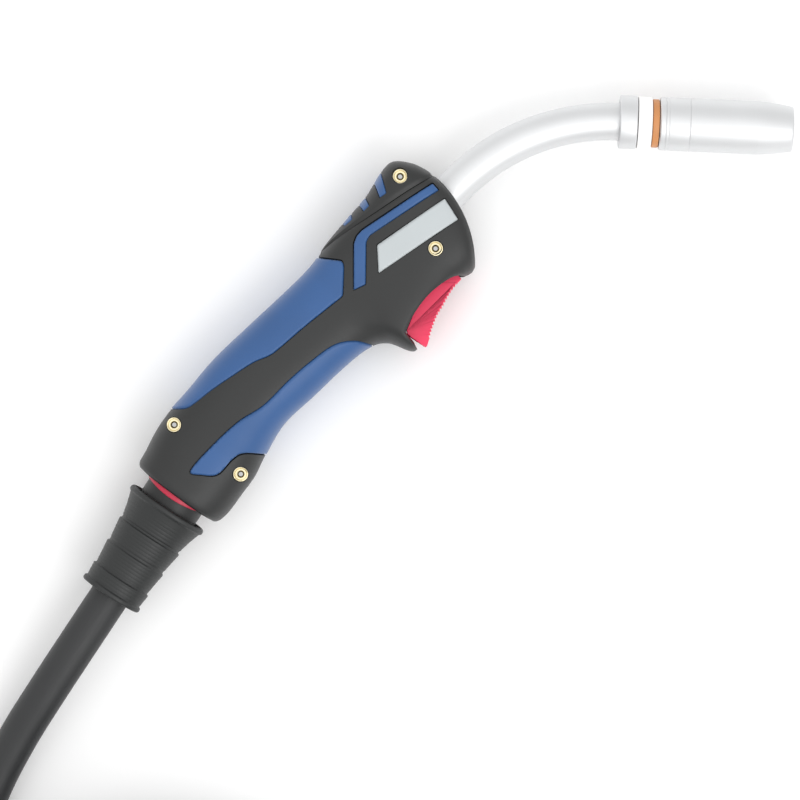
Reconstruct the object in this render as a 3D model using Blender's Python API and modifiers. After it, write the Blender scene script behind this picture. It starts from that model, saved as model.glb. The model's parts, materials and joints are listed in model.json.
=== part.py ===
"""MIG welding torch, built as it comes apart on a bench.

The torch lies on its left side. +X runs along the gas nozzle, +Y points to the back of
the handle, +Z is up, out of the torch's right side. The origin is on the bench, under
the middle of the torch without its cable. Run: blender --background --python part.py
"""

import math

import bmesh
import bpy
import numpy as np
from mathutils import Matrix, Vector

MM = 0.001
GAP = 0.3  # between two pieces that touch, mm

# All sizes below are in millimetres. Side-view points are (x, y) from the drawing's
# datum, and z is counted from the plane that splits the handle into right and left.
DATUM = (-15.55, -19.7)
MID_HEIGHT = 21.0  # of the splitting plane over the bench: half the widest section

# Neck and nozzle
NECK_OD = 16.5
NECK_ID = 14.4
INSULATION_ID = 10.4
CORE_ID = 6.4
LINER_OD = 4.4
NECK_ROOT = (18.6, 92.9)  # where the neck leaves the straight
NECK_ANGLE = 50.0  # between the neck inside the handle and the nozzle
NECK_BEND = 94.0
NECK_IN_HANDLE = 41.0
COLLAR_OD = 23.5
COLLAR_LENGTH = 8.1
INSULATOR_OD = 23.0
INSULATOR_LENGTH = 6.1
SEAL_OD = 21.3
SEAL_LENGTH = 2.9
NOZZLE_OD = 23.5
NOZZLE_TIP_OD = 20.0
NOZZLE_LENGTH = 58.6
NOZZLE_TAPER = 15.5
NOZZLE_WALL = 2.0
SPIGOT_OD = 16.0
DIFFUSER_OD = 12.6
DIFFUSER_LENGTH = 33.0
TIP_OD = 8.0
TIP_LENGTH = 31.0
TIP_BORE = 1.2

# Cable and its fixing in the handle
CABLE_OD = 17.5
BLOCK_LENGTH = 25.0
BLOCK_ACROSS = 15.0
FERRULE_OD = 12.0
FERRULE_LENGTH = 21.5

# Ball joint and kink boot
BALL_CENTRE = (-91.2, -37.3)
CABLE_TURN = 12.0  # before the ball's centre, where the cable starts to bend with it
SOCKET_ANGLE = 56.5  # of the handle's rear end below -X
BOOT_ANGLE = 59.0  # of the boot and cable below -X, at rest
BALL_R = 16.2
BALL_ZONE = 5.0  # the ball is the zone this far each side of its centre
CUP_R = BALL_R + 2.4
CUP_ZONE = 6.0
MOUTH_R = BALL_R + 0.2
REAR_FACE = 10.4  # behind the ball's centre
SLEEVE_R = BALL_R - 2.2
SLEEVE_BORE = SLEEVE_R - 2.8
RING_R = BALL_R - 1.4
RING_AT = 8.7
RING_WIDTH = 2.6
BOOT_AT = 16.5
BOOT_LENGTH = 46.5

# Handle shells and what is let into them
WALL = 4.0
PAD_DEPTH = 1.5
PAD_PROUD = 0.4
CAP_PROUD = 0.6
CAP_WALL = 2.6
PLATE_DEPTH = 0.8
INSERT_R = 3.2
INSERT_LENGTH = 6.0
INSERT_SUNK = 3.0
SCREW_R = 1.2
SCREW_HEAD_R = 2.7
SCREW_HEAD_LENGTH = 2.2
BOSS_R = 4.5
CAP_SCREW = (-4.2, 97.4)
SHELL_SCREWS = ((12.6, 66.6), (-98.1, -15.1), (-68.1, -35.4))

# Trigger and switch
PIVOT = (18.0, 57.5)
TRIGGER_LEAN = 69.0  # of the trigger's length below -X
TRIGGER_HALF_WIDTH = 8.6
PIN_R = 1.5
LUG_R = 3.4
SWITCH_AT = 22.0  # of the button below the pivot
TRIGGER_BACK = 6.2  # of the trigger's inner face behind the pivot
HEEL_RELIEF = 0.4  # of that face at its lower end, to clear the switch at full travel
BUTTON_TRAVEL = 1.95
SWITCH_SIZE = (20.0, 6.4, 6.4)

# Far end of the cable
COIL_CENTRE = (-83.25, -308.0)
COIL_MEAN_R = 95.0
TIE_THICK = 1.0
TIE_WIDTH = 16.0
TIE_ANGLE = 20.0
PLUG_START = 112.0  # along the line on which the cable leaves the coil
PLUG_FALL = 50.0  # along that line, where the cable starts down from the coil's top
PLUG_ANGLE = 45.0
PLUG_SLEEVE = 40.0
PLUG_SHELL = 56.0
PLUG_NUT = 26.0
PLUG_NOSE = 15.0
PLUG_SHELL_R = 21.0
PLUG_NUT_R = 23.0
PLUG_BODY_R = 12.5

# Stations of the handle, rear end first: back edge x, y, front edge x, y, half
# thickness, roundness power of the section, and how far its middle bows forward
STATIONS = (
    (-108.6, -38.0, -83.2, -54.9, 15.6, 2.2, 0.0),
    (-113.2, -33.4, -78.4, -56.9, 20.0, 2.3, 0.0),
    (-110.4, -26.6, -73.4, -52.9, 20.6, 2.4, 0.0),
    (-106.2, -17.6, -67.6, -44.4, 20.6, 2.5, 0.0),
    (-100.6, -8.8, -62.2, -36.2, 20.4, 2.5, 0.0),
    (-93.4, 0.0, -57.9, -26.4, 19.5, 2.5, 0.0),
    (-82.4, 14.2, -50.4, -12.6, 18.2, 2.5, 0.0),
    (-66.9, 30.4, -38.2, 0.0, 17.6, 2.5, 0.0),
    (-53.2, 44.3, -24.6, 14.0, 17.6, 2.6, 0.0),
    (-42.2, 55.4, -14.6, 22.4, 18.2, 2.7, 0.0),
    (-33.6, 67.2, -6.0, 24.6, 19.2, 2.9, 0.0),
    (-25.6, 77.6, 5.4, 21.8, 20.2, 3.1, 0.0),
    (-18.3, 87.4, 12.0, 29.0, 20.8, 3.3, 0.0),
    (-12.4, 99.0, 18.4, 43.6, 21.0, 3.4, 0.5),
    (-7.4, 103.9, 22.8, 51.6, 21.0, 3.4, 1.6),
    (0.4, 103.6, 26.6, 55.4, 20.8, 3.4, 3.0),
    (6.6, 101.2, 29.2, 57.4, 19.4, 3.2, 4.4),
    (9.8, 98.8, 30.4, 59.6, 16.4, 3.0, 5.0),
)
CAVITY_FROM = 3.0
CAVITY_TO = 16.2
RINGS = 24
AROUND = 20
WELD = 0.00003  # what a Boolean leaves closer together than this is one point, m

PARTS = "mig_welding_torch"
CUTTERS = "cutters"


# --- Points and directions -----------------------------------------------------------


def at(x, y, z=0.0):
    """A drawing point in the part's frame, in metres."""
    return Vector(((DATUM[0] + x) * MM, (DATUM[1] + y) * MM, (MID_HEIGHT + z) * MM))


def toward(angle_below_minus_x):
    """The unit vector that many degrees below -X, in the drawing's plane."""
    angle = math.radians(angle_below_minus_x)
    return np.array((-math.cos(angle), -math.sin(angle)))


def along(start, direction, distance, sideways=0.0):
    """A drawing point that far along a direction, and sideways to its left."""
    left = np.array((-direction[1], direction[0]))
    return tuple(np.asarray(start) + direction * distance + left * sideways)


def smooth(table, places):
    """Rows of a table at fractional places, by a cubic through the rows."""
    table = np.asarray(table, float)
    slopes = np.gradient(table, axis=0)
    places = np.clip(places, 0, len(table) - 1)
    low = np.minimum(places.astype(int), len(table) - 2)
    t = (places - low)[:, None]
    a, b = table[low], table[low + 1]
    ma, mb = slopes[low], slopes[low + 1]
    return (
        a * (2 * t**3 - 3 * t**2 + 1)
        + ma * (t**3 - 2 * t**2 + t)
        + b * (3 * t**2 - 2 * t**3)
        + mb * (t**3 - t**2)
    )


def curve_through(points, count):
    """Evenly numbered points on the smooth curve through a few points."""
    return smooth(points, np.linspace(0, len(points) - 1, count))


def grown(outline, distance):
    """A closed counter-clockwise outline moved outwards by a distance."""
    points = np.asarray(outline, float)
    ahead = np.roll(points, -1, axis=0) - points
    ahead /= np.linalg.norm(ahead, axis=1)[:, None]
    normal = np.stack([ahead[:, 1], -ahead[:, 0]], axis=1)
    before = np.roll(normal, 1, axis=0)
    share = 1 + (normal * before).sum(axis=1)
    return points + distance * (normal + before) / np.maximum(share, 0.35)[:, None]


def counter_clockwise(outline):
    points = np.asarray(outline, float)
    after = np.roll(points, -1, axis=0)
    area = (points[:, 0] * after[:, 1] - after[:, 0] * points[:, 1]).sum()
    return points if area > 0 else points[::-1]


# --- Objects --------------------------------------------------------------------------


def start():
    """Empties the scene and makes the two collections."""
    for obj in list(bpy.data.objects):
        bpy.data.objects.remove(obj)
    for name in (PARTS, CUTTERS):
        collection = bpy.data.collections.new(name)
        bpy.context.scene.collection.children.link(collection)
    bpy.data.collections[CUTTERS].hide_render = True


def material(name, colour, roughness, metallic=0.0):
    """The Principled material of that name, made on its first use."""
    if name in bpy.data.materials:
        return bpy.data.materials[name]
    made = bpy.data.materials.new(name)
    made.use_nodes = True
    shader = made.node_tree.nodes["Principled BSDF"]
    shader.inputs["Base Color"].default_value = (*colour, 1.0)
    shader.inputs["Roughness"].default_value = roughness
    shader.inputs["Metallic"].default_value = metallic
    return made


def shell_plastic():
    return material("shell_plastic", (0.06, 0.065, 0.068), 0.5)


def grip_rubber():
    return material("grip_rubber", (0.045, 0.13, 0.36), 0.6)


def plate_white():
    return material("plate_white", (0.68, 0.74, 0.76), 0.35)


def trigger_plastic():
    return material("trigger_plastic", (0.82, 0.05, 0.14), 0.4)


def ring_plastic():
    return material("ring_plastic", (0.55, 0.03, 0.08), 0.4)


def brass():
    return material("brass", (0.72, 0.56, 0.26), 0.35, 1.0)


def steel():
    return material("steel", (0.55, 0.55, 0.55), 0.35, 1.0)


def copper():
    return material("copper", (0.75, 0.4, 0.26), 0.35, 1.0)


def aluminium():
    return material("satin_aluminium", (0.86, 0.86, 0.87), 0.35, 1.0)


def insulator_white():
    return material("insulator_white", (0.9, 0.9, 0.88), 0.4)


def seal_orange():
    return material("seal_orange", (0.78, 0.33, 0.08), 0.5)


def cable_rubber():
    return material("cable_rubber", (0.045, 0.047, 0.048), 0.65)


def boot_rubber():
    return material("boot_rubber", (0.04, 0.042, 0.043), 0.6)


def switch_plastic():
    return material("switch_plastic", (0.03, 0.03, 0.03), 0.45)


def lead_plastic():
    return material("lead_plastic", (0.5, 0.12, 0.04), 0.5)


def cup_plastic():
    return material("cup_plastic", (0.7, 0.7, 0.66), 0.45)


def strap_fabric():
    return material("strap_fabric", (0.02, 0.02, 0.022), 0.9)


def place(name, mesh, matrix, look=None):
    """A new object in the parts' collection, or in the cutters' if it has no look."""
    obj = bpy.data.objects.new(name, mesh)
    obj.matrix_world = matrix
    if look is None:
        obj.hide_render = True
        obj.display_type = "WIRE"
        bpy.data.collections[CUTTERS].objects.link(obj)
        return obj
    mesh.materials.clear()
    mesh.materials.append(look)
    bpy.data.collections[PARTS].objects.link(obj)
    return obj


def settled(obj):
    """The object with its modifiers worked into its mesh, as the Booleans leave it."""
    bpy.context.view_layer.update()
    graph = bpy.context.evaluated_depsgraph_get()
    mesh = bpy.data.meshes.new_from_object(obj.evaluated_get(graph))
    look = obj.data.materials[0] if obj.data.materials else None
    obj.modifiers.clear()
    obj.data = mesh
    cleaned(mesh)
    mesh.materials.clear()
    if look is not None:
        mesh.materials.append(look)
    return obj


def cleaned(mesh):
    """Welds the slivers that a cut leaves, and joins faces that lie in one plane."""
    work = bmesh.new()
    work.from_mesh(mesh)
    bmesh.ops.remove_doubles(work, verts=work.verts, dist=WELD)
    bmesh.ops.dissolve_degenerate(work, dist=WELD, edges=work.edges)
    bmesh.ops.dissolve_limit(
        work, angle_limit=math.radians(0.2), verts=work.verts, edges=work.edges
    )
    bmesh.ops.triangulate(work, faces=work.faces)
    bmesh.ops.dissolve_degenerate(work, dist=WELD, edges=work.edges)
    work.to_mesh(mesh)
    work.free()


def largest_body(obj):
    """Keeps the largest connected piece, without the crumbs of a cut."""
    work = bmesh.new()
    work.from_mesh(obj.data)
    left = set(work.verts)
    bodies = []
    while left:
        body, edge = set(), [left.pop()]
        while edge:
            vert = edge.pop()
            body.add(vert)
            near = {e.other_vert(vert) for e in vert.link_edges} & left
            left -= near
            edge.extend(near)
        bodies.append(body)
    bodies.sort(key=len)
    for body in bodies[:-1]:
        bmesh.ops.delete(work, geom=list(body), context="VERTS")
    work.to_mesh(obj.data)
    work.free()
    return obj


def boolean(obj, other, operation="DIFFERENCE"):
    modifier = obj.modifiers.new(operation.lower(), "BOOLEAN")
    modifier.operation = operation
    modifier.solver = "EXACT"
    modifier.object = other
    return settled(obj)


def facing(start, direction):
    """The matrix that puts local Z along a drawing direction and local Y near +Z."""
    z = Vector((direction[0], direction[1], 0.0)).normalized()
    y = Vector((0.0, 0.0, 1.0))
    x = y.cross(z)
    turn = Matrix((x, y, z)).transposed().to_4x4()
    return Matrix.Translation(at(*start)) @ turn


def turned(name, profile, matrix, look=None, steps=24):
    """A turned piece: a closed (radius, height) profile, outer side top to bottom."""
    mesh = bpy.data.meshes.new(name)
    points = [(radius * MM, 0.0, height * MM) for radius, height in profile]
    edges = [(i, (i + 1) % len(points)) for i in range(len(points))]
    if profile[0][0] == 0 and profile[-1][0] == 0:
        edges.pop()
    mesh.from_pydata(points, edges, [])
    obj = place(name, mesh, matrix, look)
    screw = obj.modifiers.new("turn", "SCREW")
    screw.steps = steps
    screw.render_steps = steps
    screw.use_merge_vertices = True
    screw.merge_threshold = 0.00001
    screw.use_smooth_shade = True
    return settled(obj)


def tube_ring(outer, inner, low, high):
    """The profile of a plain ring or sleeve."""
    return ((outer, high), (outer, low), (inner, low), (inner, high))


def rod(radius, low, high):
    """The profile of a plain solid rod."""
    return ((0, high), (radius, high), (radius, low), (0, low))


def from_curve(name, curve, look):
    """A mesh object from a curve, with its caps welded on."""
    helper = bpy.data.objects.new(name + "_curve", curve)
    bpy.context.scene.collection.objects.link(helper)
    bpy.context.view_layer.update()
    graph = bpy.context.evaluated_depsgraph_get()
    mesh = bpy.data.meshes.new_from_object(helper.evaluated_get(graph))
    bpy.data.objects.remove(helper)
    obj = place(name, mesh, Matrix.Identity(4), look)
    weld = obj.modifiers.new("weld", "WELD")
    weld.merge_threshold = 0.00001
    return settled(obj)


def swept(name, path, radius, look=None, sides=4):
    """A round bar along points in metres."""
    curve = bpy.data.curves.new(name, "CURVE")
    curve.dimensions = "3D"
    curve.bevel_depth = radius * MM
    curve.bevel_resolution = sides
    curve.use_fill_caps = True
    spline = curve.splines.new("POLY")
    spline.points.add(len(path) - 1)
    for point, place_ in zip(spline.points, path):
        point.co = (*place_, 1.0)
    return from_curve(name, curve, look)


def prism(name, outline, low, high, look=None):
    """A flat outline in the drawing's plane, standing from low to high."""
    curve = bpy.data.curves.new(name, "CURVE")
    curve.dimensions = "2D"
    curve.fill_mode = "BOTH"
    curve.extrude = (high - low) / 2 * MM
    spline = curve.splines.new("POLY")
    spline.points.add(len(outline) - 1)
    for point, (x, y) in zip(spline.points, outline):
        point.co = (*at(x, y)[:2], 0.0, 1.0)
    spline.use_cyclic_u = True
    obj = from_curve(name, curve, look)
    lift = Matrix.Translation((0, 0, (MID_HEIGHT + (low + high) / 2) * MM))
    obj.data.transform(lift)
    return obj


def box(name, matrix, low, high, look=None):
    """A box between two corners in the matrix's own axes."""
    bpy.ops.mesh.primitive_cube_add(size=1)
    cube = bpy.context.object
    mesh = cube.data
    bpy.data.objects.remove(cube)
    low, high = Vector(low) * MM, Vector(high) * MM
    size = Matrix.Diagonal((*(high - low), 1.0))
    mesh.transform(Matrix.Translation((low + high) / 2) @ size)
    return place(name, mesh, matrix, look)


# --- The handle's skin ----------------------------------------------------------------


def handle_rings(inset, first=0.0, last=None, count=RINGS, around=AROUND):
    """Rings of points on the handle's skin, moved in by inset.

    Each station is a superellipse between the back and the front edge. Its middle bows
    forward, along the handle, by the station's last value.
    """
    last = len(STATIONS) - 1 if last is None else last
    rows = smooth(STATIONS, np.linspace(first, last, count))
    angle = np.linspace(0, 2 * math.pi, around, endpoint=False)
    back, front = rows[:, 0:2], rows[:, 2:4]
    middle, half = (back + front) / 2, (back - front) / 2
    reach = np.linalg.norm(half, axis=1)[:, None]
    side = half / reach
    ahead = np.stack([side[:, 1], -side[:, 0]], axis=1)
    power = 2 / rows[:, 5][:, None]
    across = np.sign(np.cos(angle)) * np.abs(np.cos(angle)) ** power
    up = np.sign(np.sin(angle)) * np.abs(np.sin(angle)) ** power
    plane = (
        middle[:, None, :]
        + side[:, None, :] * ((reach - inset) * across)[:, :, None]
        + ahead[:, None, :] * (rows[:, 6][:, None] * (1 - across**2))[:, :, None]
    )
    height = (rows[:, 4][:, None] - inset) * up
    return np.concatenate([plane, height[:, :, None]], axis=2)


def loft(name, rings, look=None):
    """A closed solid through rings of points, with flat ends."""
    count, around = rings.shape[:2]
    points = [tuple(at(*point)) for point in rings.reshape(-1, 3)]
    faces = []
    for ring in range(count - 1):
        for i in range(around):
            j = (i + 1) % around
            a, b = ring * around, (ring + 1) * around
            faces.append((a + i, a + j, b + j, b + i))
    faces.append(tuple(range(around))[::-1])
    faces.append(tuple(range((count - 1) * around, count * around)))
    mesh = bpy.data.meshes.new(name)
    mesh.from_pydata(points, [], faces)
    return place(name, mesh, Matrix.Identity(4), look)


def skin(name, inset, look=None, first=0.0, last=None):
    return loft(name, handle_rings(inset, first, last), look)


# --- Outlines of the handle's pieces --------------------------------------------------


def pad_upper_outline():
    """The long pad of the upper grip: its own edge, and past the back of the handle."""
    edge = curve_through(
        (
            (-27.4, 57.0),
            (-27.0, 50.0),
            (-29.0, 42.4),
            (-42.0, 31.2),
            (-56.0, 18.2),
            (-64.4, 14.0),
            (-82.2, 1.6),
            (-92.0, -7.4),
            (-101.5, -8.4),
        ),
        17,
    )
    beyond = ((-112.0, -6.0), (-112.0, 12.0), (-60.0, 62.0), (-38.0, 64.0), (-34.6, 60.2))
    return counter_clockwise([*edge, *beyond])


def pad_lower_outline():
    """The pad of the lower grip: its own edge, and past the front of the handle."""
    edge = curve_through(
        (
            (-58.0, -26.9),
            (-66.7, -26.7),
            (-71.4, -29.4),
            (-77.5, -36.2),
            (-84.4, -36.8),
            (-90.2, -34.9),
            (-81.0, -23.2),
            (-70.0, -12.2),
            (-59.5, -4.8),
            (-48.9, 6.6),
            (-40.0, 15.0),
            (-30.0, 22.8),
            (-21.0, 25.0),
            (-13.0, 23.6),
        ),
        27,
    )
    beyond = ((-10.0, 20.0), (-20.0, 2.0), (-48.0, -28.0))
    return counter_clockwise([*edge, *beyond])


def stripe_outline():
    """The bent stripe on the head: a slanted leg and an upright leg."""
    return counter_clockwise(
        (
            (10.0, 95.7),
            (-19.7, 73.6),
            (-22.2, 70.6),
            (-23.1, 67.6),
            (-22.9, 48.2),
            (-21.5, 47.2),
            (-17.5, 50.6),
            (-17.4, 68.4),
            (-15.9, 71.2),
            (12.8, 92.4),
        )
    )


def plate_outline():
    return counter_clockwise(((14.8, 88.8), (21.0, 80.0), (-11.6, 55.6), (-12.8, 67.4)))


def cap_outline():
    """All that lies behind the seam between the shells and the cap."""
    seam = curve_through(
        (
            (10.6, 99.6),
            (1.2, 93.5),
            (-13.5, 85.0),
            (-25.3, 75.3),
            (-33.5, 67.6),
            (-38.2, 61.9),
        ),
        12,
    )
    return counter_clockwise([*seam, (-46.0, 66.0), (-25.0, 112.0), (14.0, 112.0)])


def chip_outlines():
    """The three chips that wrap over the back of the cap."""
    return (
        ("cap_chip_front", ((-14.6, 99.4), (-9.7, 90.6), (-12.8, 88.1), (-19.0, 93.5))),
        ("cap_chip_middle", ((-20.2, 90.4), (-16.9, 84.7), (-20.1, 81.9), (-25.0, 86.0))),
        ("cap_chip_rear", ((-27.0, 82.4), (-24.0, 78.2), (-27.2, 75.1), (-32.0, 77.4))),
    )


def trigger_outline():
    """The trigger's side: the finger face in front, the lug at the pivot, a flat back."""
    down = toward(TRIGGER_LEAN)
    face = curve_through(
        ((25.0, 54.4), (20.8, 50.0), (16.6, 41.8), (13.4, 34.7), (11.6, 27.0), (9.4, 24.0)),
        12,
    )
    heel = along(PIVOT, down, 31.0, HEEL_RELIEF - TRIGGER_BACK)
    shoulder = along(PIVOT, down, 8.0, -TRIGGER_BACK)
    lug = [
        along(PIVOT, np.array((math.cos(a), math.sin(a))), LUG_R)
        for a in np.radians((200, 160, 120, 80, 40, 0))
    ]
    return counter_clockwise([*face, (3.6, 27.6), heel, shoulder, *lug])


def opening_outline():
    """What the shells leave open in front of them for the trigger."""
    edge = curve_through(
        ((25.8, 55.4), (19.4, 53.4), (11.4, 47.0), (5.0, 38.2), (0.8, 29.4)), 9
    )
    return counter_clockwise([*edge, (6.9, 22.7), (16.0, 20.0), (34.0, 44.0), (31.0, 55.0)])


def slot_outline():
    """The room that the trigger's hidden back needs to swing in."""
    down = toward(TRIGGER_LEAN)
    deep = TRIGGER_BACK + 4.6
    corners = (
        along(PIVOT, down, 35.5, -deep),
        along(PIVOT, down, 35.5, 6.0),
        along(PIVOT, down, 4.0, 9.0),
        along(PIVOT, down, -5.0, 6.0),
        along(PIVOT, down, -5.0, -5.0),
        along(PIVOT, down, 6.0, -deep),
    )
    return counter_clockwise(corners)


# --- Handle ---------------------------------------------------------------------------


def skin_height(x, y):
    """How high the skin stands over the splitting plane at a drawing point."""
    rings = handle_rings(0.0, count=120, around=96)
    upper = rings[:, 1:48].reshape(-1, 3)
    near = np.hypot(upper[:, 0] - x, upper[:, 1] - y)
    closest = np.argsort(near)[:6]
    return float(upper[closest, 2].mean())


def neck_line(distance):
    """The centre of the neck that far behind its root, inside the handle."""
    return along(NECK_ROOT, toward(NECK_ANGLE), distance)


def socket_matrix():
    return facing(BALL_CENTRE, toward(SOCKET_ANGLE))


def boot_matrix():
    return facing(BALL_CENTRE, toward(BOOT_ANGLE))


def handle_cutters():
    """The solids that hollow both shells."""
    cavity = skin("cut_cavity", WALL, first=CAVITY_FROM, last=CAVITY_TO)
    for number, (x, y) in enumerate(SHELL_SCREWS, 1):
        post = turned(
            f"cut_post_{number}", rod(BOSS_R, -30, 30), Matrix.Translation(at(x, y)), steps=12
        )
        boolean(cavity, post)
    cap = prism("cut_cap", grown(cap_outline(), GAP), -40, 40)
    opening = prism("cut_opening", opening_outline(), -40, 40)
    half = TRIGGER_HALF_WIDTH + GAP
    slot = prism("cut_slot", slot_outline(), -half, half)
    bore = facing(NECK_ROOT, toward(NECK_ANGLE))
    neck = turned("cut_neck", rod(NECK_OD / 2 + GAP, -30, NECK_IN_HANDLE), bore)
    cup = turned("cut_cup", rod(CUP_R + GAP, -9.5, CUP_ZONE + GAP), socket_matrix())
    mouth = turned("cut_mouth", rod(MOUTH_R, 0, REAR_FACE + 8), socket_matrix())
    pin = turned("cut_pin", rod(PIN_R + GAP, -14, 14), Matrix.Translation(at(*PIVOT)))
    return [cavity, cap, opening, slot, neck, cup, mouth, pin]


def pocket(name, outline, depth):
    """A cutter for a pocket of even depth under the skin."""
    cutter = prism(name, outline, -40, 40)
    core = skin(name + "_floor", depth + GAP)
    return boolean(cutter, core)


def half_space(side):
    """The box that keeps one side of the splitting plane, up to half a gap."""
    low, high = sorted((side * GAP / 2, side * 60))
    matrix = Matrix.Translation(at(0, 0))
    return box(f"cut_half_{side}", matrix, (-200, -200, low), (200, 200, high))


def handle_shells(shared, pockets):
    """The right and left shells, each with its screw posts and pockets."""
    for side, name in ((1, "handle_shell_right"), (-1, "handle_shell_left")):
        shell = skin(name, 0.0, shell_plastic())
        boolean(shell, half_space(side), "INTERSECT")
        for cutter in [*shared, *pockets]:
            boolean(shell, cutter)
        for number, spot in enumerate(SHELL_SCREWS, 1):
            drill(shell, f"{name}_{number}", spot)


def drill(piece, name, spot):
    """The stepped hole of one screw: its head's seat, its shank and its insert."""
    x, y = spot
    top = skin_height(x, y)
    matrix = Matrix.Translation(at(x, y))
    floor = top - INSERT_SUNK - INSERT_LENGTH - GAP
    seat = -screw_seat(x, y)
    stepped = (
        (0, 40),
        (INSERT_R + GAP, 40),
        (INSERT_R + GAP, floor),
        (SCREW_R + GAP, floor),
        (SCREW_R + GAP, seat),
        (SCREW_HEAD_R + GAP, seat),
        (SCREW_HEAD_R + GAP, -40),
        (0, -40),
    )
    boolean(piece, turned("cut_screw_" + name, stepped, matrix, steps=12))


def screw_seat(x, y):
    """How far below the splitting plane a screw's head bears on its post."""
    return skin_height(x, y) - 4.5


def fasteners():
    """Four screws from the left side, into brass inserts on the right."""
    for number, (x, y) in enumerate((CAP_SCREW, *SHELL_SCREWS), 1):
        matrix = Matrix.Translation(at(x, y))
        top = skin_height(x, y) - INSERT_SUNK
        ring = tube_ring(INSERT_R, SCREW_R + GAP, top - INSERT_LENGTH, top)
        turned(f"screw_insert_{number}", ring, matrix, brass(), steps=12)
        seat = -screw_seat(x, y) - GAP
        profile = (
            (0, top - 0.8),
            (SCREW_R, top - 0.8),
            (SCREW_R, seat),
            (SCREW_HEAD_R, seat),
            (SCREW_HEAD_R, seat - SCREW_HEAD_LENGTH),
            (0, seat - SCREW_HEAD_LENGTH),
        )
        turned(f"handle_screw_{number}", profile, matrix, steel(), steps=12)


def inlay(name, outline, proud, depth, look, half):
    """A piece let into the skin: the skin's own shape inside an outline."""
    piece = skin(name, -proud, look)
    boolean(piece, prism(name + "_edge", grown(outline, -GAP), -40, 40), "INTERSECT")
    boolean(piece, half, "INTERSECT")
    return boolean(piece, skin(name + "_under", depth))


def handle_inlays():
    """Grip pads, stripes and blank name plates, on both sides."""
    kinds = (
        ("grip_pad_upper", pad_upper_outline(), PAD_PROUD, PAD_DEPTH, grip_rubber()),
        ("grip_pad_lower", pad_lower_outline(), PAD_PROUD, PAD_DEPTH, grip_rubber()),
        ("head_stripe", stripe_outline(), 0.0, PAD_DEPTH, grip_rubber()),
        ("name_plate", plate_outline(), 0.0, PLATE_DEPTH, plate_white()),
    )
    for side, word in ((1, "right"), (-1, "left")):
        half = half_space(side)
        for name, outline, proud, depth, look in kinds:
            inlay(f"{name}_{word}", outline, proud, depth, look, half)


def top_cap():
    """The cap over the back of the head, with three chips let into it."""
    cap = skin("top_cap", -CAP_PROUD, shell_plastic())
    boolean(cap, prism("cut_cap_edge", cap_outline(), -40, 40), "INTERSECT")
    hollow = skin("cut_cap_hollow", CAP_WALL, last=CAVITY_TO)
    post = rod(BOSS_R, -30, 30)
    post = turned("cut_cap_post", post, Matrix.Translation(at(*CAP_SCREW)), steps=12)
    boolean(cap, boolean(hollow, post))
    bore = facing(NECK_ROOT, toward(NECK_ANGLE))
    neck = rod(NECK_OD / 2 + GAP, -30, NECK_IN_HANDLE)
    boolean(cap, turned("cut_cap_neck", neck, bore))
    drill(cap, "top_cap", CAP_SCREW)
    for name, outline in chip_outlines():
        outline = counter_clockwise(outline)
        boolean(cap, pocket("cut_" + name, grown(outline, 0.0), PAD_DEPTH - CAP_PROUD))
        chip = skin(name, -CAP_PROUD, grip_rubber())
        edge = prism(name + "_edge", grown(outline, -GAP), -40, 40)
        boolean(chip, edge, "INTERSECT")
        boolean(chip, skin(name + "_under", PAD_DEPTH - CAP_PROUD))
    largest_body(cap)


# --- Trigger and switch ---------------------------------------------------------------


def trigger_group():
    """The trigger on its pin, its return spring, and the switch behind it."""
    down = toward(TRIGGER_LEAN)
    half = TRIGGER_HALF_WIDTH
    trigger = prism("trigger", trigger_outline(), -half, half, trigger_plastic())
    hole = turned("cut_lug", rod(PIN_R + GAP, -20, 20), Matrix.Translation(at(*PIVOT)))
    boolean(trigger, hole)
    corners = ((-6.0, 8.0), (-6.0, -12.0), (4.8, -12.0), (4.8, 3.0))
    relief = [along(PIVOT, down, *corner) for corner in corners]
    boolean(trigger, prism("cut_lug_side", relief, 4.0, 20.0))
    pin = rod(PIN_R, -half - 4.0, half + 4.0)
    turned("trigger_pin", pin, Matrix.Translation(at(*PIVOT)), steel(), steps=12)
    trigger_spring()
    switch()


def trigger_spring():
    """A coil round the pin, beside the trigger's lug."""
    coil_r = PIN_R + GAP + 0.8
    coil = []
    for angle in np.linspace(0, 2.5 * 2 * math.pi, 23):
        x = PIVOT[0] + coil_r * math.cos(angle)
        y = PIVOT[1] + coil_r * math.sin(angle)
        coil.append(tuple(at(x, y, 4.8 + angle / (2 * math.pi) * 1.15)))
    swept("trigger_spring", coil, 0.4, steel(), sides=2)


def switch():
    """The micro switch behind the trigger, and its button in a well."""
    long, deep, wide = SWITCH_SIZE
    axes = facing(PIVOT, toward(TRIGGER_LEAN))
    near = -(TRIGGER_BACK + GAP + BUTTON_TRAVEL + GAP)
    low = (near - deep, -wide / 2, SWITCH_AT - long / 2)
    high = (near, wide / 2, SWITCH_AT + long / 2)
    body = box("switch_body", axes, low, high, switch_plastic())
    half, end = 1.6, 2.0
    low = (near - 2.4, -half, SWITCH_AT - end)
    high = (-(TRIGGER_BACK + GAP), half, SWITCH_AT + end)
    half, end = half + GAP, end + GAP
    floor = near - 2.4 - BUTTON_TRAVEL - GAP
    well_low = (floor, -half, SWITCH_AT - end)
    well_high = (near + 1.0, half, SWITCH_AT + end)
    boolean(body, box("cut_well", axes, well_low, well_high))
    box("switch_button", axes, low, high, trigger_plastic())


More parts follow.
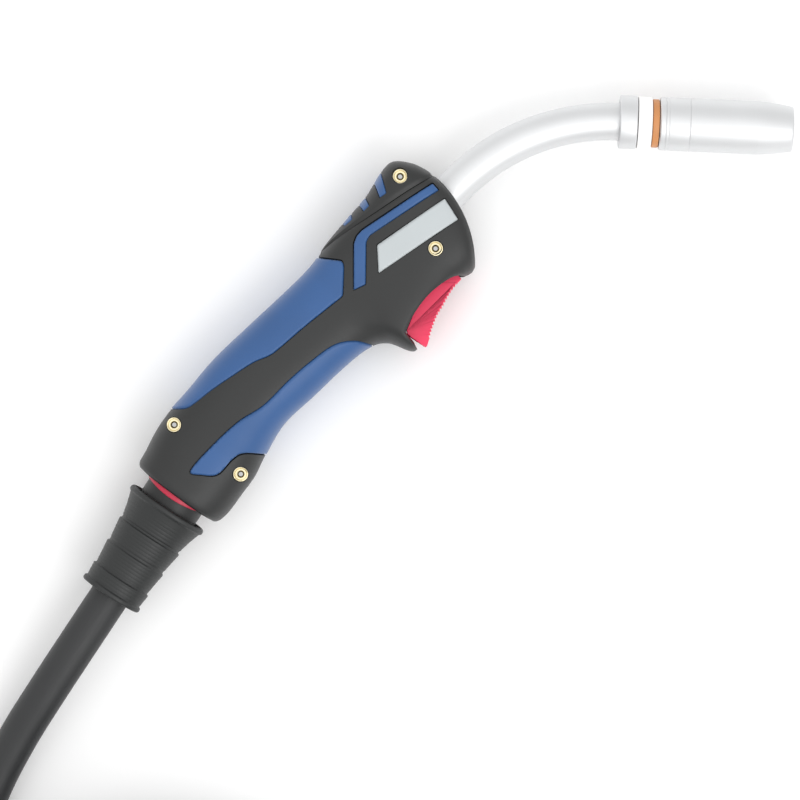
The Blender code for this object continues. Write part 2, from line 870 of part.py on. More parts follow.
def control_leads():
    """Two leads from the switch to the front face of the cable."""
    down = toward(TRIGGER_LEAN)
    long, deep, _ = SWITCH_SIZE
    middle = TRIGGER_BACK + 2 * GAP + BUTTON_TRAVEL + deep / 2
    start = along(PIVOT, down, SWITCH_AT + long / 2 + GAP, -middle)
    face = neck_line(NECK_IN_HANDLE + BLOCK_LENGTH + FERRULE_LENGTH + 2 * GAP)
    left = toward(NECK_ANGLE)
    end = along(face, left, -GAP, FERRULE_OD / 2 + 1.3)
    before = along(face, left, -7.0, FERRULE_OD / 2 + 2.0)
    for number, z in ((1, -1.6), (2, 1.6)):
        route = (
            start,
            along(start, down, 3.0),
            (-13.0, 31.0),
            (-20.5, 30.4),
            before,
            end,
        )
        path = [tuple(at(x, y, z)) for x, y in curve_through(route, 11)]
        swept(f"control_lead_{number}", path, 0.7, lead_plastic(), sides=2)


# --- Neck and nozzle ------------------------------------------------------------------


def neck_centre():
    """Centre of the neck's bend."""
    angle = math.radians(NECK_ANGLE)
    return (
        NECK_ROOT[0] + NECK_BEND * math.sin(angle),
        NECK_ROOT[1] - NECK_BEND * math.cos(angle),
    )


def bend_path(behind, beyond, arc_points=8):
    """Points in metres along the neck, and on past both ends of its bend."""
    cx, cy = neck_centre()
    points = [along(NECK_ROOT, toward(NECK_ANGLE), behind)]
    for angle in np.radians(np.linspace(90 + NECK_ANGLE, 90, arc_points)):
        points.append((cx + NECK_BEND * math.cos(angle), cy + NECK_BEND * math.sin(angle)))
    points.append((cx + beyond, cy + NECK_BEND))
    return [tuple(at(x, y)) for x, y in points]


def neck_pipe(name, outer, inner, behind, beyond, look):
    pipe = swept(name, bend_path(behind, beyond), outer / 2, look)
    bore = swept("cut_" + name, bend_path(behind + 5, beyond + 5), inner / 2)
    return boolean(pipe, bore)


def nozzle_matrix(distance):
    """On the nozzle's axis, that far past the end of the bend; local Z is forward."""
    cx, cy = neck_centre()
    return facing((cx + distance, cy + NECK_BEND), np.array((1.0, 0.0)))


def neck_group():
    """The neck: outer tube, insulation, current-carrying core and wire liner."""
    end = COLLAR_LENGTH
    neck_pipe("neck_tube", NECK_OD, NECK_ID, NECK_IN_HANDLE, end, aluminium())
    neck_pipe(
        "neck_insulation", NECK_ID - 2 * GAP, INSULATION_ID, NECK_IN_HANDLE, end,
        insulator_white(),
    )
    neck_pipe(
        "neck_core", INSULATION_ID - 2 * GAP, CORE_ID, NECK_IN_HANDLE, end, copper()
    )
    liner = bend_path(NECK_IN_HANDLE + BLOCK_LENGTH - 1.0, end)
    swept("wire_liner", liner, LINER_OD / 2, steel(), sides=2)


def nozzle_group():
    """Everything on the nozzle's axis, in order from the neck."""
    at_end = nozzle_matrix(0.0)
    collar_end = COLLAR_LENGTH + GAP
    collar = tube_ring(COLLAR_OD / 2, NECK_OD / 2 + GAP, GAP, COLLAR_LENGTH)
    turned("neck_collar", collar, at_end, aluminium())
    ring_end = collar_end + INSULATOR_LENGTH
    spigot_end = ring_end + SEAL_LENGTH + 8.0
    bore = DIFFUSER_OD / 2 + GAP
    insulator = (
        (SPIGOT_OD / 2, spigot_end),
        (SPIGOT_OD / 2, ring_end),
        (INSULATOR_OD / 2, ring_end),
        (INSULATOR_OD / 2, collar_end),
        (bore, collar_end),
        (bore, spigot_end),
    )
    turned("insulator_ring", insulator, at_end, insulator_white())
    seal_end = ring_end + GAP + SEAL_LENGTH
    seal = tube_ring(SEAL_OD / 2, SPIGOT_OD / 2 + GAP, ring_end + GAP, seal_end)
    turned("seal_ring", seal, at_end, seal_orange())

    low = seal_end + GAP
    high = low + NOZZLE_LENGTH
    outer, tip = NOZZLE_OD / 2, NOZZLE_TIP_OD / 2
    nozzle = (
        (tip - 0.5, high),
        (tip, high - 0.5),
        (outer, high - NOZZLE_TAPER),
        (outer, low + 0.6),
        (outer - 0.6, low),
        (outer - NOZZLE_WALL, low),
        (outer - NOZZLE_WALL, high - NOZZLE_TAPER),
        (tip - NOZZLE_WALL, high),
    )
    turned("gas_nozzle", nozzle, at_end, aluminium(), steps=24)

    base = COLLAR_LENGTH + GAP
    diffuser = tube_ring(DIFFUSER_OD / 2, LINER_OD / 2 + GAP, base, base + DIFFUSER_LENGTH)
    body = turned("gas_diffuser", diffuser, at_end, brass())
    for turn in range(2):
        across = at_end @ Matrix.Rotation(turn * math.pi / 2, 4, "Z")
        across = across @ Matrix.Translation((0, 0, (base + 24.0) * MM))
        across = across @ Matrix.Rotation(math.pi / 2, 4, "X")
        boolean(body, turned(f"cut_gas_hole_{turn}", rod(1.0, -12, 12), across, steps=8))
    tip_base = base + DIFFUSER_LENGTH + GAP
    contact = (
        (TIP_OD / 2 - 1.2, tip_base + TIP_LENGTH),
        (TIP_OD / 2, tip_base + TIP_LENGTH - 4.0),
        (TIP_OD / 2, tip_base),
        (TIP_BORE / 2, tip_base),
        (TIP_BORE / 2, tip_base + TIP_LENGTH),
    )
    turned("contact_tip", contact, at_end, copper(), steps=16)

    inner = SPIGOT_OD / 2 + GAP
    outside = NOZZLE_OD / 2 - NOZZLE_WALL - GAP
    wire = (outside - inner) / 2
    turns = np.linspace(0, 2 * 2 * math.pi, 33)
    rise = 6.0 / turns[-1]
    coil = []
    for a in turns:
        x, y = (inner + wire) * math.cos(a), (inner + wire) * math.sin(a)
        coil.append(tuple(at_end @ (Vector((x, y, low + 1.0 + rise * a)) * MM)))
    swept("nozzle_spring", coil, wire, steel(), sides=2)


# --- Cable inside the handle, ball joint and boot -------------------------------------


def cable_fixing():
    """The block that joins neck and cable, and the ferrule crimped on the cable."""
    matrix = facing(NECK_ROOT, toward(NECK_ANGLE))
    low = NECK_IN_HANDLE + GAP
    hexagon = rod(BLOCK_ACROSS / 2 / math.cos(math.pi / 6), low, low + BLOCK_LENGTH)
    block = turned("torch_block", hexagon, matrix, brass(), steps=6)
    bore = rod(LINER_OD / 2 + GAP, low - 5, low + BLOCK_LENGTH + 5)
    boolean(block, turned("cut_block", bore, matrix, steps=12))
    low += BLOCK_LENGTH + GAP
    ferrule = (
        (FERRULE_OD / 2, low + FERRULE_LENGTH),
        (FERRULE_OD / 2, low + 4.0),
        (FERRULE_OD / 2 - 1.2, low + 3.0),
        (FERRULE_OD / 2, low + 2.0),
        (FERRULE_OD / 2, low),
        (2.0, low),
        (2.0, low + FERRULE_LENGTH),
    )
    turned("cable_ferrule", ferrule, matrix, copper(), steps=16)


def cable_start():
    return neck_line(NECK_IN_HANDLE + BLOCK_LENGTH + FERRULE_LENGTH + 4 * GAP)


def cable_in_handle():
    """The cable between its ferrule and the ball, straight in the grip."""
    line = toward(BOOT_ANGLE)
    start = np.array(cable_start())
    turn = np.array(along(BALL_CENTRE, line, -CABLE_TURN - 10.0))
    route = [start + (turn - start) * share for share in (0.0, 0.33, 0.66)]
    route += [turn, along(BALL_CENTRE, line, -CABLE_TURN)]
    path = [tuple(at(*point)) for point in route]
    swept("cable_in_handle", path, CABLE_OD / 2, cable_rubber())


def ball_joint():
    """The cup in the handle, and the ball with its sleeve and coloured ring."""
    seat = BALL_R + GAP
    reach = math.asin((CUP_ZONE - GAP) / seat)
    zone = np.linspace(math.pi / 2 - reach, math.pi / 2 + reach, 7)
    rows = [(seat * math.sin(a), seat * math.cos(a)) for a in zone[::-1]]
    back = -CUP_ZONE - 2.0
    cup = [(CUP_R, CUP_ZONE), (CUP_R, back), (seat * math.sin(zone[-1]), back), *rows]
    turned("ball_cup", cup, socket_matrix(), cup_plastic(), steps=20)

    ball = [
        (BALL_R * math.sin(a), BALL_R * math.cos(a))
        for a in np.linspace(math.acos(BALL_ZONE / BALL_R), math.acos(-BALL_ZONE / BALL_R), 7)
    ]
    end = BOOT_AT + 9.0
    sleeve = [
        (SLEEVE_R - 1.5, end),
        (SLEEVE_R, end - 3.0),
        (SLEEVE_R, RING_AT + RING_WIDTH + 2 * GAP),
        (SLEEVE_R - 1.2, RING_AT + RING_WIDTH + 2 * GAP),
        (SLEEVE_R - 1.2, RING_AT),
        (SLEEVE_R, RING_AT),
        (SLEEVE_R, BALL_ZONE + 1.2),
        *ball,
        (SLEEVE_BORE, -BALL_ZONE),
        (SLEEVE_BORE, end),
    ]
    turned("ball_sleeve", sleeve, boot_matrix(), shell_plastic(), steps=20)
    ring = tube_ring(RING_R, SLEEVE_R - 1.2 + GAP, RING_AT + GAP, RING_AT + GAP + RING_WIDTH)
    turned("swivel_ring", ring, boot_matrix(), ring_plastic(), steps=20)


def kink_boot():
    """The tapered rubber boot behind the handle: a cupped mouth and three steps."""
    a, length = BOOT_AT, BOOT_LENGTH
    bore = CABLE_OD / 2 + GAP + 0.2
    outside = [
        (14.5, a + length),
        (14.5, a + length - 1.6),
        (13.6, a + length - 2.2),
        (14.1, a + 38.2),
        (13.3, a + 36.6),
        (14.5, a + 26.8),
        (13.8, a + 25.2),
        (15.5, a + 15.6),
        (14.6, a + 13.6),
        (15.9, a + 8.6),
        (17.8, a + 4.2),
        (18.9, a + 2.6),
        (18.9, a + 0.8),
        (18.1, a),
    ]
    inside = [
        (16.6, a),
        (SLEEVE_R + GAP, a + 3.4),
        (SLEEVE_R + GAP, a + 9.6),
        (bore, a + 13.0),
        (bore, a + length),
    ]
    turned("kink_boot", outside + inside, boot_matrix(), boot_rubber(), steps=20)


# --- The cable outside the handle -----------------------------------------------------


def cable_route():
    """Route of the cable's centre from the boot to the coil: drawing x, y, height."""
    return (
        (-123.6, -91.3, 21.0),
        (-136.5, -112.7, 20.6),
        (-149.4, -134.2, 18.6),
        (-161.9, -156.0, 15.0),
        (-172.6, -178.6, 11.6),
        (-180.6, -202.6, 10.4),
        (-185.4, -228.0, 10.25),
        (-186.8, -254.0, 10.25),
        (-187.0, -280.0, 10.25),
        (-187.0, -308.0, 10.25),
    )


def bench(x, y, height):
    """A drawing point at a height over the bench, in metres."""
    return at(x, y, height - MID_HEIGHT)


def cable_tubes():
    """The cable through ball and boot, then down to the bench, up to the coil."""
    line = toward(BOOT_ANGLE)
    straight = [
        (*along(BALL_CENTRE, line, distance), MID_HEIGHT)
        for distance in np.linspace(GAP - CABLE_TURN, BOOT_AT + BOOT_LENGTH - 6.0, 5)
    ]
    route = curve_through(cable_route(), 37)
    bend = straight + [tuple(point) for point in route[0:10:3]]
    swept("cable_bend", [tuple(bench(*p)) for p in bend], CABLE_OD / 2, cable_rubber())
    first = route[9] + (route[10] - route[9]) * 0.12
    last = np.argmax(route[:, 1] < COIL_CENTRE[1] + 68.0)
    front = [first, *route[12:last:3], route[last]]
    swept("cable_front", [tuple(bench(*p)) for p in front], CABLE_OD / 2, cable_rubber())


def coil_bottom():
    return TIE_THICK + GAP


def coil_top():
    return coil_bottom() + 2 * CABLE_OD + 0.2


def coil():
    """The stored length: two turns beside each other, two layers high, in a tie."""
    inner = COIL_MEAN_R - CABLE_OD - 0.1
    outer = COIL_MEAN_R + CABLE_OD + 0.1
    low, high, soft = coil_bottom(), coil_top(), 4.0
    ring = (
        (outer - soft, high),
        (outer, high - soft),
        (outer, low + soft),
        (outer - soft, low),
        (inner + soft, low),
        (inner, low + soft),
        (inner, high - soft),
        (inner + soft, high),
    )
    matrix = Matrix.Translation(bench(*COIL_CENTRE, 0.0))
    turned("cable_coil", ring, matrix, cable_rubber(), steps=36)
    strap("coil_tie", TIE_ANGLE, inner, outer, low, high)


def strap(name, angle, inner, outer, low, high):
    """A closed strap round the bundle of turns."""
    turn = Matrix.Rotation(math.radians(angle), 4, "Z")
    matrix = Matrix.Translation(bench(*COIL_CENTRE, 0.0)) @ turn
    half = TIE_WIDTH / 2
    bulge = outer - math.sqrt(outer**2 - half**2)
    dip = inner - math.sqrt(inner**2 - half**2)
    near, far = inner - dip - GAP, outer + GAP
    solid = box(
        name, matrix,
        (near - TIE_THICK, -half, low - GAP - TIE_THICK),
        (far + TIE_THICK, half, high + GAP + TIE_THICK), strap_fabric(),
    )
    hole = box(
        "cut_" + name, matrix,
        (near, -half - 1, low - GAP), (far, half + 1, high + GAP),
    )
    return boolean(solid, hole) if bulge < half else solid


def top_turn(count):
    """The last part turn, laid on top of the coil, then the way down to the plug."""
    leave = math.radians(PLUG_ANGLE - 90)
    radius = COIL_MEAN_R + CABLE_OD / 2
    height = coil_top() + CABLE_OD / 2 + GAP
    points = []
    for angle in np.linspace(math.radians(75), 2 * math.pi + leave, count):
        x = COIL_CENTRE[0] + radius * math.cos(angle)
        y = COIL_CENTRE[1] + radius * math.sin(angle)
        points.append((x, y, height))
    return points


def plug_matrix():
    """On the plug's axis where the cable leaves the coil; local Z runs to the nose."""
    leave = math.radians(PLUG_ANGLE - 90)
    radius = COIL_MEAN_R + CABLE_OD / 2
    x = COIL_CENTRE[0] + radius * math.cos(leave)
    y = COIL_CENTRE[1] + radius * math.sin(leave)
    direction = np.array((math.cos(leave + math.pi / 2), math.sin(leave + math.pi / 2)))
    drop = Matrix.Translation((0, 0, (PLUG_NUT_R + GAP - MID_HEIGHT) * MM))
    return drop @ facing((x, y), direction)


def cable_lead():
    """The cable's last stretch: on top of the coil, then down into the plug's sleeve."""
    arc = top_turn(22)
    x, y, height = arc[-1]
    angle = math.radians(PLUG_ANGLE)
    down = []
    low = PLUG_NUT_R + GAP
    end = PLUG_START - GAP
    for run in (18.0, 36.0, *np.linspace(PLUG_FALL, end - 6.0, 7), end):
        share = min(1.0, max(0.0, (run - PLUG_FALL) / (end - 6.0 - PLUG_FALL)))
        fall = 3 * share**2 - 2 * share**3
        down.append((
            x + run * math.cos(angle),
            y + run * math.sin(angle),
            height + (low - height) * fall,
        ))
    path = [tuple(bench(*p)) for p in [*arc, *down]]
    swept("cable_lead", path, CABLE_OD / 2, cable_rubber(), sides=2)


def central_connector():
    """The machine plug: sleeve, two shells, brass body, nut, nipple, pins and seal."""
    matrix = plug_matrix()
    a = PLUG_START
    b = a + PLUG_SLEEVE
    c = b + PLUG_SHELL
    d = c + PLUG_NUT
    bore = CABLE_OD / 2 + GAP
    sleeve = (
        (PLUG_SHELL_R - 7.0, b - GAP),
        (13.0, b - 14.0),
        (12.2, a + 14.0),
        (11.4, a + 1.0),
        (10.6, a),
        (bore - 3.0, a),
        (bore - 3.0, b - GAP),
    )
    turned("plug_sleeve", sleeve, matrix, boot_rubber(), steps=20)
    radius, wall = PLUG_SHELL_R, 2.4
    shell = (
        (radius, c - 1.0),
        (radius, b + 8.0),
        (radius - 3.0, b + 2.0),
        (radius - 7.0, b),
        (bore, b),
        (radius - wall - 5.0, b + 4.0),
        (radius - wall, b + 9.0),
        (radius - wall, c - 6.0),
        (PLUG_BODY_R + GAP, c - 6.0),
        (PLUG_BODY_R + GAP, c - 1.0),
    )
    for side, word in ((1, "upper"), (-1, "lower")):
        half = turned("plug_shell_" + word, shell, matrix, shell_plastic(), steps=24)
        low, high = sorted((side * GAP / 2, side * 40))
        keep = box(f"cut_plug_{word}", matrix, (-40, low, 0), (40, high, 400))
        boolean(half, keep, "INTERSECT")
    nose = d + PLUG_NOSE
    body = (
        (PLUG_BODY_R, nose - 5.0),
        (PLUG_BODY_R, c + 1.6),
        (PLUG_BODY_R + 3.0, c + 1.6),
        (PLUG_BODY_R + 3.0, c - 1.0 + 2 * GAP),
        (PLUG_BODY_R, c - 1.0 + 2 * GAP),
        (PLUG_BODY_R, c - 22.0),
        (3.6, c - 22.0),
        (3.6, nose - 5.0),
    )
    brass_body = turned("plug_body", body, matrix, brass(), steps=24)
    for number, side in ((1, -1), (2, 1)):
        spot = matrix @ Matrix.Translation((side * 8.0 * MM, 0, 0))
        hole = rod(1.4 + GAP, nose - 15.0, nose + 5)
        boolean(brass_body, turned(f"cut_pin_{number}", hole, spot, steps=12))
        pin = rod(1.4, nose - 15.0 + GAP, nose + 1.0)
        turned(f"control_pin_{number}", pin, spot, brass(), steps=12)
    nipple = tube_ring(3.6 - GAP, 1.5, c - 30.0, nose + 6.0)
    turned("wire_nipple", nipple, matrix, steel(), steps=16)
    nut = (
        (PLUG_NUT_R, d - 1.5),
        (PLUG_NUT_R, c + 2.0),
        (PLUG_BODY_R + GAP, c + 2.0),
        (PLUG_BODY_R + GAP, c + 6.0),
        (PLUG_BODY_R + 5.0, c + 6.0),
        (PLUG_BODY_R + 5.0, d),
        (PLUG_NUT_R - 1.5, d),
    )
    turned("coupling_nut", nut, matrix, shell_plastic(), steps=24)


# --- Everything -----------------------------------------------------------------------


def main():
    start()
    pockets = [
        pocket("cut_pad_upper", pad_upper_outline(), PAD_DEPTH),
        pocket("cut_pad_lower", pad_lower_outline(), PAD_DEPTH),
        pocket("cut_stripe", stripe_outline(), PAD_DEPTH),
        pocket("cut_plate", plate_outline(), PLATE_DEPTH),
    ]
    handle_shells(handle_cutters(), pockets)
    handle_inlays()
    top_cap()
    fasteners()
    trigger_group()
    control_leads()
    neck_group()
    nozzle_group()
    cable_fixing()
    cable_in_handle()
    ball_joint()
    kink_boot()
    cable_tubes()
    coil()
    cable_lead()
    central_connector()


main()
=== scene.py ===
"""A MIG welding torch with its cable and machine plug, lying on a pale bench.

Every shape is a numpy surface: a grid over two parameters, or a profile turned or
carried along a path. Lengths are in millimetres until at() turns them to metres.
Side-view points are (x, y) from the drawing's datum, and z is counted from the plane
that splits the handle into its right and left halves.
"""

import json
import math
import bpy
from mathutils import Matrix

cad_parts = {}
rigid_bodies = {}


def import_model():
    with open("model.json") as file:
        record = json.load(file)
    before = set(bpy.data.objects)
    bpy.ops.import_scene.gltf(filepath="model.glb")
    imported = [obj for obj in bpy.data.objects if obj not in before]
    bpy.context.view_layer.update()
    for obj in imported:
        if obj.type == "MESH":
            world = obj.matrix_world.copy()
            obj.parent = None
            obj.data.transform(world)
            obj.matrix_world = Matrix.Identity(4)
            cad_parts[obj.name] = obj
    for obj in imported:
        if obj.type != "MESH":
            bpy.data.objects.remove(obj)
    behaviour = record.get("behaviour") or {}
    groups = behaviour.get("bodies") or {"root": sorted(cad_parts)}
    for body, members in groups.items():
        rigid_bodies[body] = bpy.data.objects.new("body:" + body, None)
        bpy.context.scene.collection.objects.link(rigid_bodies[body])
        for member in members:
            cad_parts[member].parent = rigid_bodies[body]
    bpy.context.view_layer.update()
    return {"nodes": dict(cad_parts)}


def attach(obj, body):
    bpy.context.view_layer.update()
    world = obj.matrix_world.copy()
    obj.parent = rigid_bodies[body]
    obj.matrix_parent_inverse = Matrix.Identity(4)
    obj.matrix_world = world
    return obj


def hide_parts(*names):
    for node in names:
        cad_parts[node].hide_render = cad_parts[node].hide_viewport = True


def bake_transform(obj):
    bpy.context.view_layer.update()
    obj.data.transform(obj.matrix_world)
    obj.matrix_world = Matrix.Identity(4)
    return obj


bl_info = {
    "name": "MIG welding torch",
    "version": (1, 0, 0),
    "blender": (4, 5, 0),
    "location": "View3D > Sidebar > Torch",
    "description": "Builds a gas-cooled welding torch, its cable and its plug",
    "category": "Object",
}

import bmesh
import bpy
import numpy as np
from mathutils import Matrix, Vector
from mathutils.geometry import tessellate_polygon

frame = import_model()

MM = 0.001
GAP = 0.3  # clearance between neighbouring pieces
SHARP = 32.0  # degrees; a surface that turns by more than this shows an edge
DATUM = (-15.55, -19.7)
MID_HEIGHT = 21.0

# Handle stations, rear end first: back edge x, y, front edge x, y, half thickness,
# roundness power of the section, and how far its middle bows forward
STATIONS = (
    (-108.6, -38.0, -83.2, -54.9, 15.6, 2.2, 0.0),
    (-113.2, -33.4, -78.4, -56.9, 20.0, 2.3, 0.0),
    (-110.4, -26.6, -73.4, -52.9, 20.6, 2.4, 0.0),
    (-106.2, -17.6, -67.6, -44.4, 20.6, 2.5, 0.0),
    (-100.6, -8.8, -62.2, -36.2, 20.4, 2.5, 0.0),
    (-93.4, 0.0, -57.9, -26.4, 19.5, 2.5, 0.0),
    (-82.4, 14.2, -50.4, -12.6, 18.2, 2.5, 0.0),
    (-66.9, 30.4, -38.2, 0.0, 17.6, 2.5, 0.0),
    (-53.2, 44.3, -24.6, 14.0, 17.6, 2.6, 0.0),
    (-42.5, 55.9, -14.6, 22.4, 18.2, 2.7, 0.0),
    (-34.1, 68.0, -6.0, 24.6, 19.2, 2.9, 0.0),
    (-26.1, 78.4, 5.4, 21.8, 20.2, 3.1, 0.0),
    (-18.6, 88.0, 12.0, 29.0, 20.8, 3.3, 0.0),
    (-12.4, 99.0, 18.4, 43.6, 21.0, 3.4, 0.5),
    (-7.4, 103.9, 22.8, 51.6, 21.0, 3.4, 1.6),
    (0.4, 103.6, 26.6, 55.4, 20.8, 3.4, 3.0),
    (6.6, 101.2, 29.2, 57.4, 19.4, 3.2, 4.4),
    (9.8, 98.8, 30.4, 59.6, 16.4, 3.0, 5.0),
)
REAR_RIM = 0.34  # the station place where the handle's rear face starts
LAST = len(STATIONS) - 1.0
PARTING = 0.0075  # half the parting line between the shells, as an angle of the section
PER_RADIAN = 19.0  # mm round the skin for each radian of the section's angle
HALF_ROUND = 62.0  # mm round the skin from its back edge to its front edge
CAP_PROUD = 0.6
PAD_DEPTH = 1.5
PLATE_DEPTH = 0.8
CAP_SCREW = (-4.2, 97.4)
SHELL_SCREWS = ((12.6, 66.6), (-98.1, -15.1), (-68.1, -35.4))
INSERT_R = 3.2
INSERT_SUNK = 3.0
SCREW_R = 1.2
SCREW_HEAD_R = 2.7

PIVOT = (18.0, 57.5)
TRIGGER_LEAN = 69.0
TRIGGER_HALF_WIDTH = 8.6
TRIGGER_BACK = 6.2

NECK_ROOT = (18.6, 92.9)
NECK_ANGLE = 50.0
NECK_BEND = 94.0
NECK_IN_HANDLE = 41.0
NECK_HOLE = (15.1, 88.7)  # where the neck's axis leaves the handle's front face
NECK_HOLE_HALF = (9.35, 8.75)  # half the hole's length and width in that face
COLLAR_LENGTH = 8.1
INSULATOR_LENGTH = 6.1
SEAL_LENGTH = 2.9

BALL_CENTRE = (-91.2, -37.3)
BOOT_ANGLE = 59.0
BALL_R = 16.2
BALL_ZONE = 5.0
SLEEVE_R = 14.0
SLEEVE_BORE = 11.2
RING_R = 14.8
RING_AT = 8.7
REAR_FACE = 10.4
BOOT_AT = 16.5
BOOT_LENGTH = 46.5
CABLE_TURN = 12.0

# The cable's centre from the boot to the coil: drawing x, y, height over the bench
CABLE_ROUTE = (
    (-123.6, -91.3, 21.0),
    (-136.5, -112.7, 20.6),
    (-149.4, -134.2, 18.6),
    (-161.9, -156.0, 15.0),
    (-172.6, -178.6, 11.6),
    (-180.6, -202.6, 10.4),
    (-185.4, -228.0, 10.25),
    (-186.8, -254.0, 10.25),
    (-187.0, -280.0, 10.25),
    (-187.0, -308.0, 10.25),
)
COIL_CENTRE = (-83.25, -308.0)
COIL_INNER_TURN = 86.25
COIL_OUTER_TURN = 103.75
COIL_LAYERS = (10.2, 27.75, 45.5)
TIE_THICK = 1.0
TIE_WIDTH = 16.0
TIE_ANGLES = (20.0, 232.0)
COIL_SIZE = (77.4, 112.6, 1.3, 36.5)  # inner and outer radius, bottom and top

PLUG_START = 112.0
PLUG_FALL = 50.0
PLUG_SLEEVE = 40.0
PLUG_SHELL = 56.0
PLUG_NUT = 26.0
PLUG_NOSE = 15.0
PLUG_SHELL_R = 21.0
PLUG_NUT_R = 23.0
PLUG_BODY_R = 12.5

VIEW_WIDTH = 352.0  # of the splitting plane that the camera takes in
VIEW_TURN = 2.5  # degrees that the camera's right hand side is turned from +X
VIEW_DISTANCE = 1800.0


def linear(code):
    """An sRGB hex colour as linear red, green and blue."""
    parts = [int(code[i : i + 2], 16) / 255 for i in (1, 3, 5)]
    return tuple(c / 12.92 if c <= 0.04045 else ((c + 0.055) / 1.055) ** 2.4 for c in parts)


# --- What a user would change ---------------------------------------------------------


def length(name, text, millimetres):
    return bpy.props.FloatProperty(
        name=name, description=text, default=millimetres * MM, min=0.0, unit="LENGTH"
    )


def colour(name, text, code):
    return bpy.props.FloatVectorProperty(
        name=name, description=text, default=linear(code), min=0.0, max=1.0, size=3,
        subtype="COLOR",
    )


class TorchSizes(bpy.types.PropertyGroup):
    """Sizes of the torch that can be changed without changing its frame."""

    cable: length("Cable", "Diameter of the cable", 17.5)
    cable_length: length("Cable length", "Free length of the cable, boot to plug", 3000.0)
    neck: length("Neck", "Outer diameter of the neck tube", 16.5)
    nozzle: length("Nozzle", "Outer diameter of the gas nozzle", 23.5)
    nozzle_tip: length("Nozzle tip", "Outer diameter of the nozzle's mouth", 20.0)
    nozzle_length: length("Nozzle length", "Length of the gas nozzle", 58.6)
    groove: length("Groove", "Depth of the lines turned in the nozzle", 0.16)
    tooth_pitch: length("Tooth pitch", "Distance between the trigger's teeth", 1.6)
    tooth_depth: length("Tooth depth", "Height of the trigger's teeth", 0.8)
    rib_pitch: length("Rib pitch", "Distance between the boot's fine ribs", 1.55)
    rib_depth: length("Rib depth", "Height of the boot's fine ribs", 0.1)
    pad_proud: length("Pad proud", "How far the grip pads stand over the shell", 0.25)
    skin_step: length("Skin step", "Grid spacing on the handle's skin", 0.62)


class TorchColours(bpy.types.PropertyGroup):
    """Colours of the torch."""

    shell: colour("Shell", "Moulded handle shells and cap", "#202121")
    grip: colour("Grip", "Soft grip pads and stripes", "#27548B")
    plate: colour("Plate", "Blank name plates", "#B9BFC1")
    trigger: colour("Trigger", "Trigger", "#F0345D")
    ring: colour("Ring", "Swivel ring", "#CF2547")
    seal: colour("Seal", "Ring behind the nozzle", "#CC8B55")
    insulator: colour("Insulator", "Insulator and white mouldings", "#F7F6F4")
    metal: colour("Metal", "Satin neck, collar and nozzle", "#DCDDDE")
    brass: colour("Brass", "Inserts and plug body", "#EADFBC")
    copper: colour("Copper", "Contact tip and core", "#C98A66")
    cable: colour("Cable", "Cable jacket", "#28292A")
    boot: colour("Boot", "Kink boot and plug sleeve", "#212323")
    bench: colour("Bench", "Pale bench", "#FFFFFF")


def sizes():
    """The size properties in millimetres, by name."""
    group = bpy.context.scene.torch_sizes
    return {name: getattr(group, name) / MM for name in TorchSizes.__annotations__}


def paint(name):
    return (*getattr(bpy.context.scene.torch_colours, name), 1.0)


# --- Points and directions ------------------------------------------------------------


def at(points):
    """Drawing points (..., 3) in the row frame, in metres."""
    return (np.asarray(points, float) + (*DATUM, MID_HEIGHT)) * MM


def toward(degrees_below_minus_x):
    """The unit vector that many degrees below -X, in the drawing's plane."""
    angle = math.radians(degrees_below_minus_x)
    return np.array((-math.cos(angle), -math.sin(angle)))


def along(start, direction, distance, sideways=0.0):
    """A drawing point that far along a direction, and sideways to its left."""
    left = np.array((-direction[1], direction[0]))
    return tuple(np.asarray(start) + direction * distance + left * sideways)


def ease(x):
    """0 below 0, 1 above 1, and 3x^2 - 2x^3 between them."""
    x = np.clip(x, 0.0, 1.0)
    return x * x * (3 - 2 * x)


def smooth(table, places):
    """Rows of a table at fractional places: a cubic Hermite curve through the rows,
    whose slopes are half the difference of each row's neighbours."""
    table = np.asarray(table, float)
    slopes = np.gradient(table, axis=0)
    places = np.clip(np.asarray(places, float), 0, len(table) - 1)
    low = np.minimum(places.astype(int), len(table) - 2)
    t = (places - low)[..., None]
    a, b, ma, mb = table[low], table[low + 1], slopes[low], slopes[low + 1]
    return (
        a * (2 * t**3 - 3 * t**2 + 1) + ma * (t**3 - 2 * t**2 + t)
        + b * (3 * t**2 - 2 * t**3) + mb * (t**3 - t**2)
    )


def curve_through(points, count):
    """That many points of a smooth curve through the given ones."""
    return smooth(points, np.linspace(0, len(points) - 1, count))


def distances(points):
    """How far along a polyline each of its points lies."""
    return np.concatenate([[0], np.cumsum(np.linalg.norm(np.diff(points, axis=0), axis=1))])


def resampled(points, step):
    """A polyline's points at even steps of its length."""
    points = np.asarray(points, float)
    run = distances(points)
    count = max(2, int(round(run[-1] / step)) + 1)
    steps = np.linspace(0, run[-1], count)
    return np.stack([np.interp(steps, run, points[:, i]) for i in range(points.shape[1])], 1)


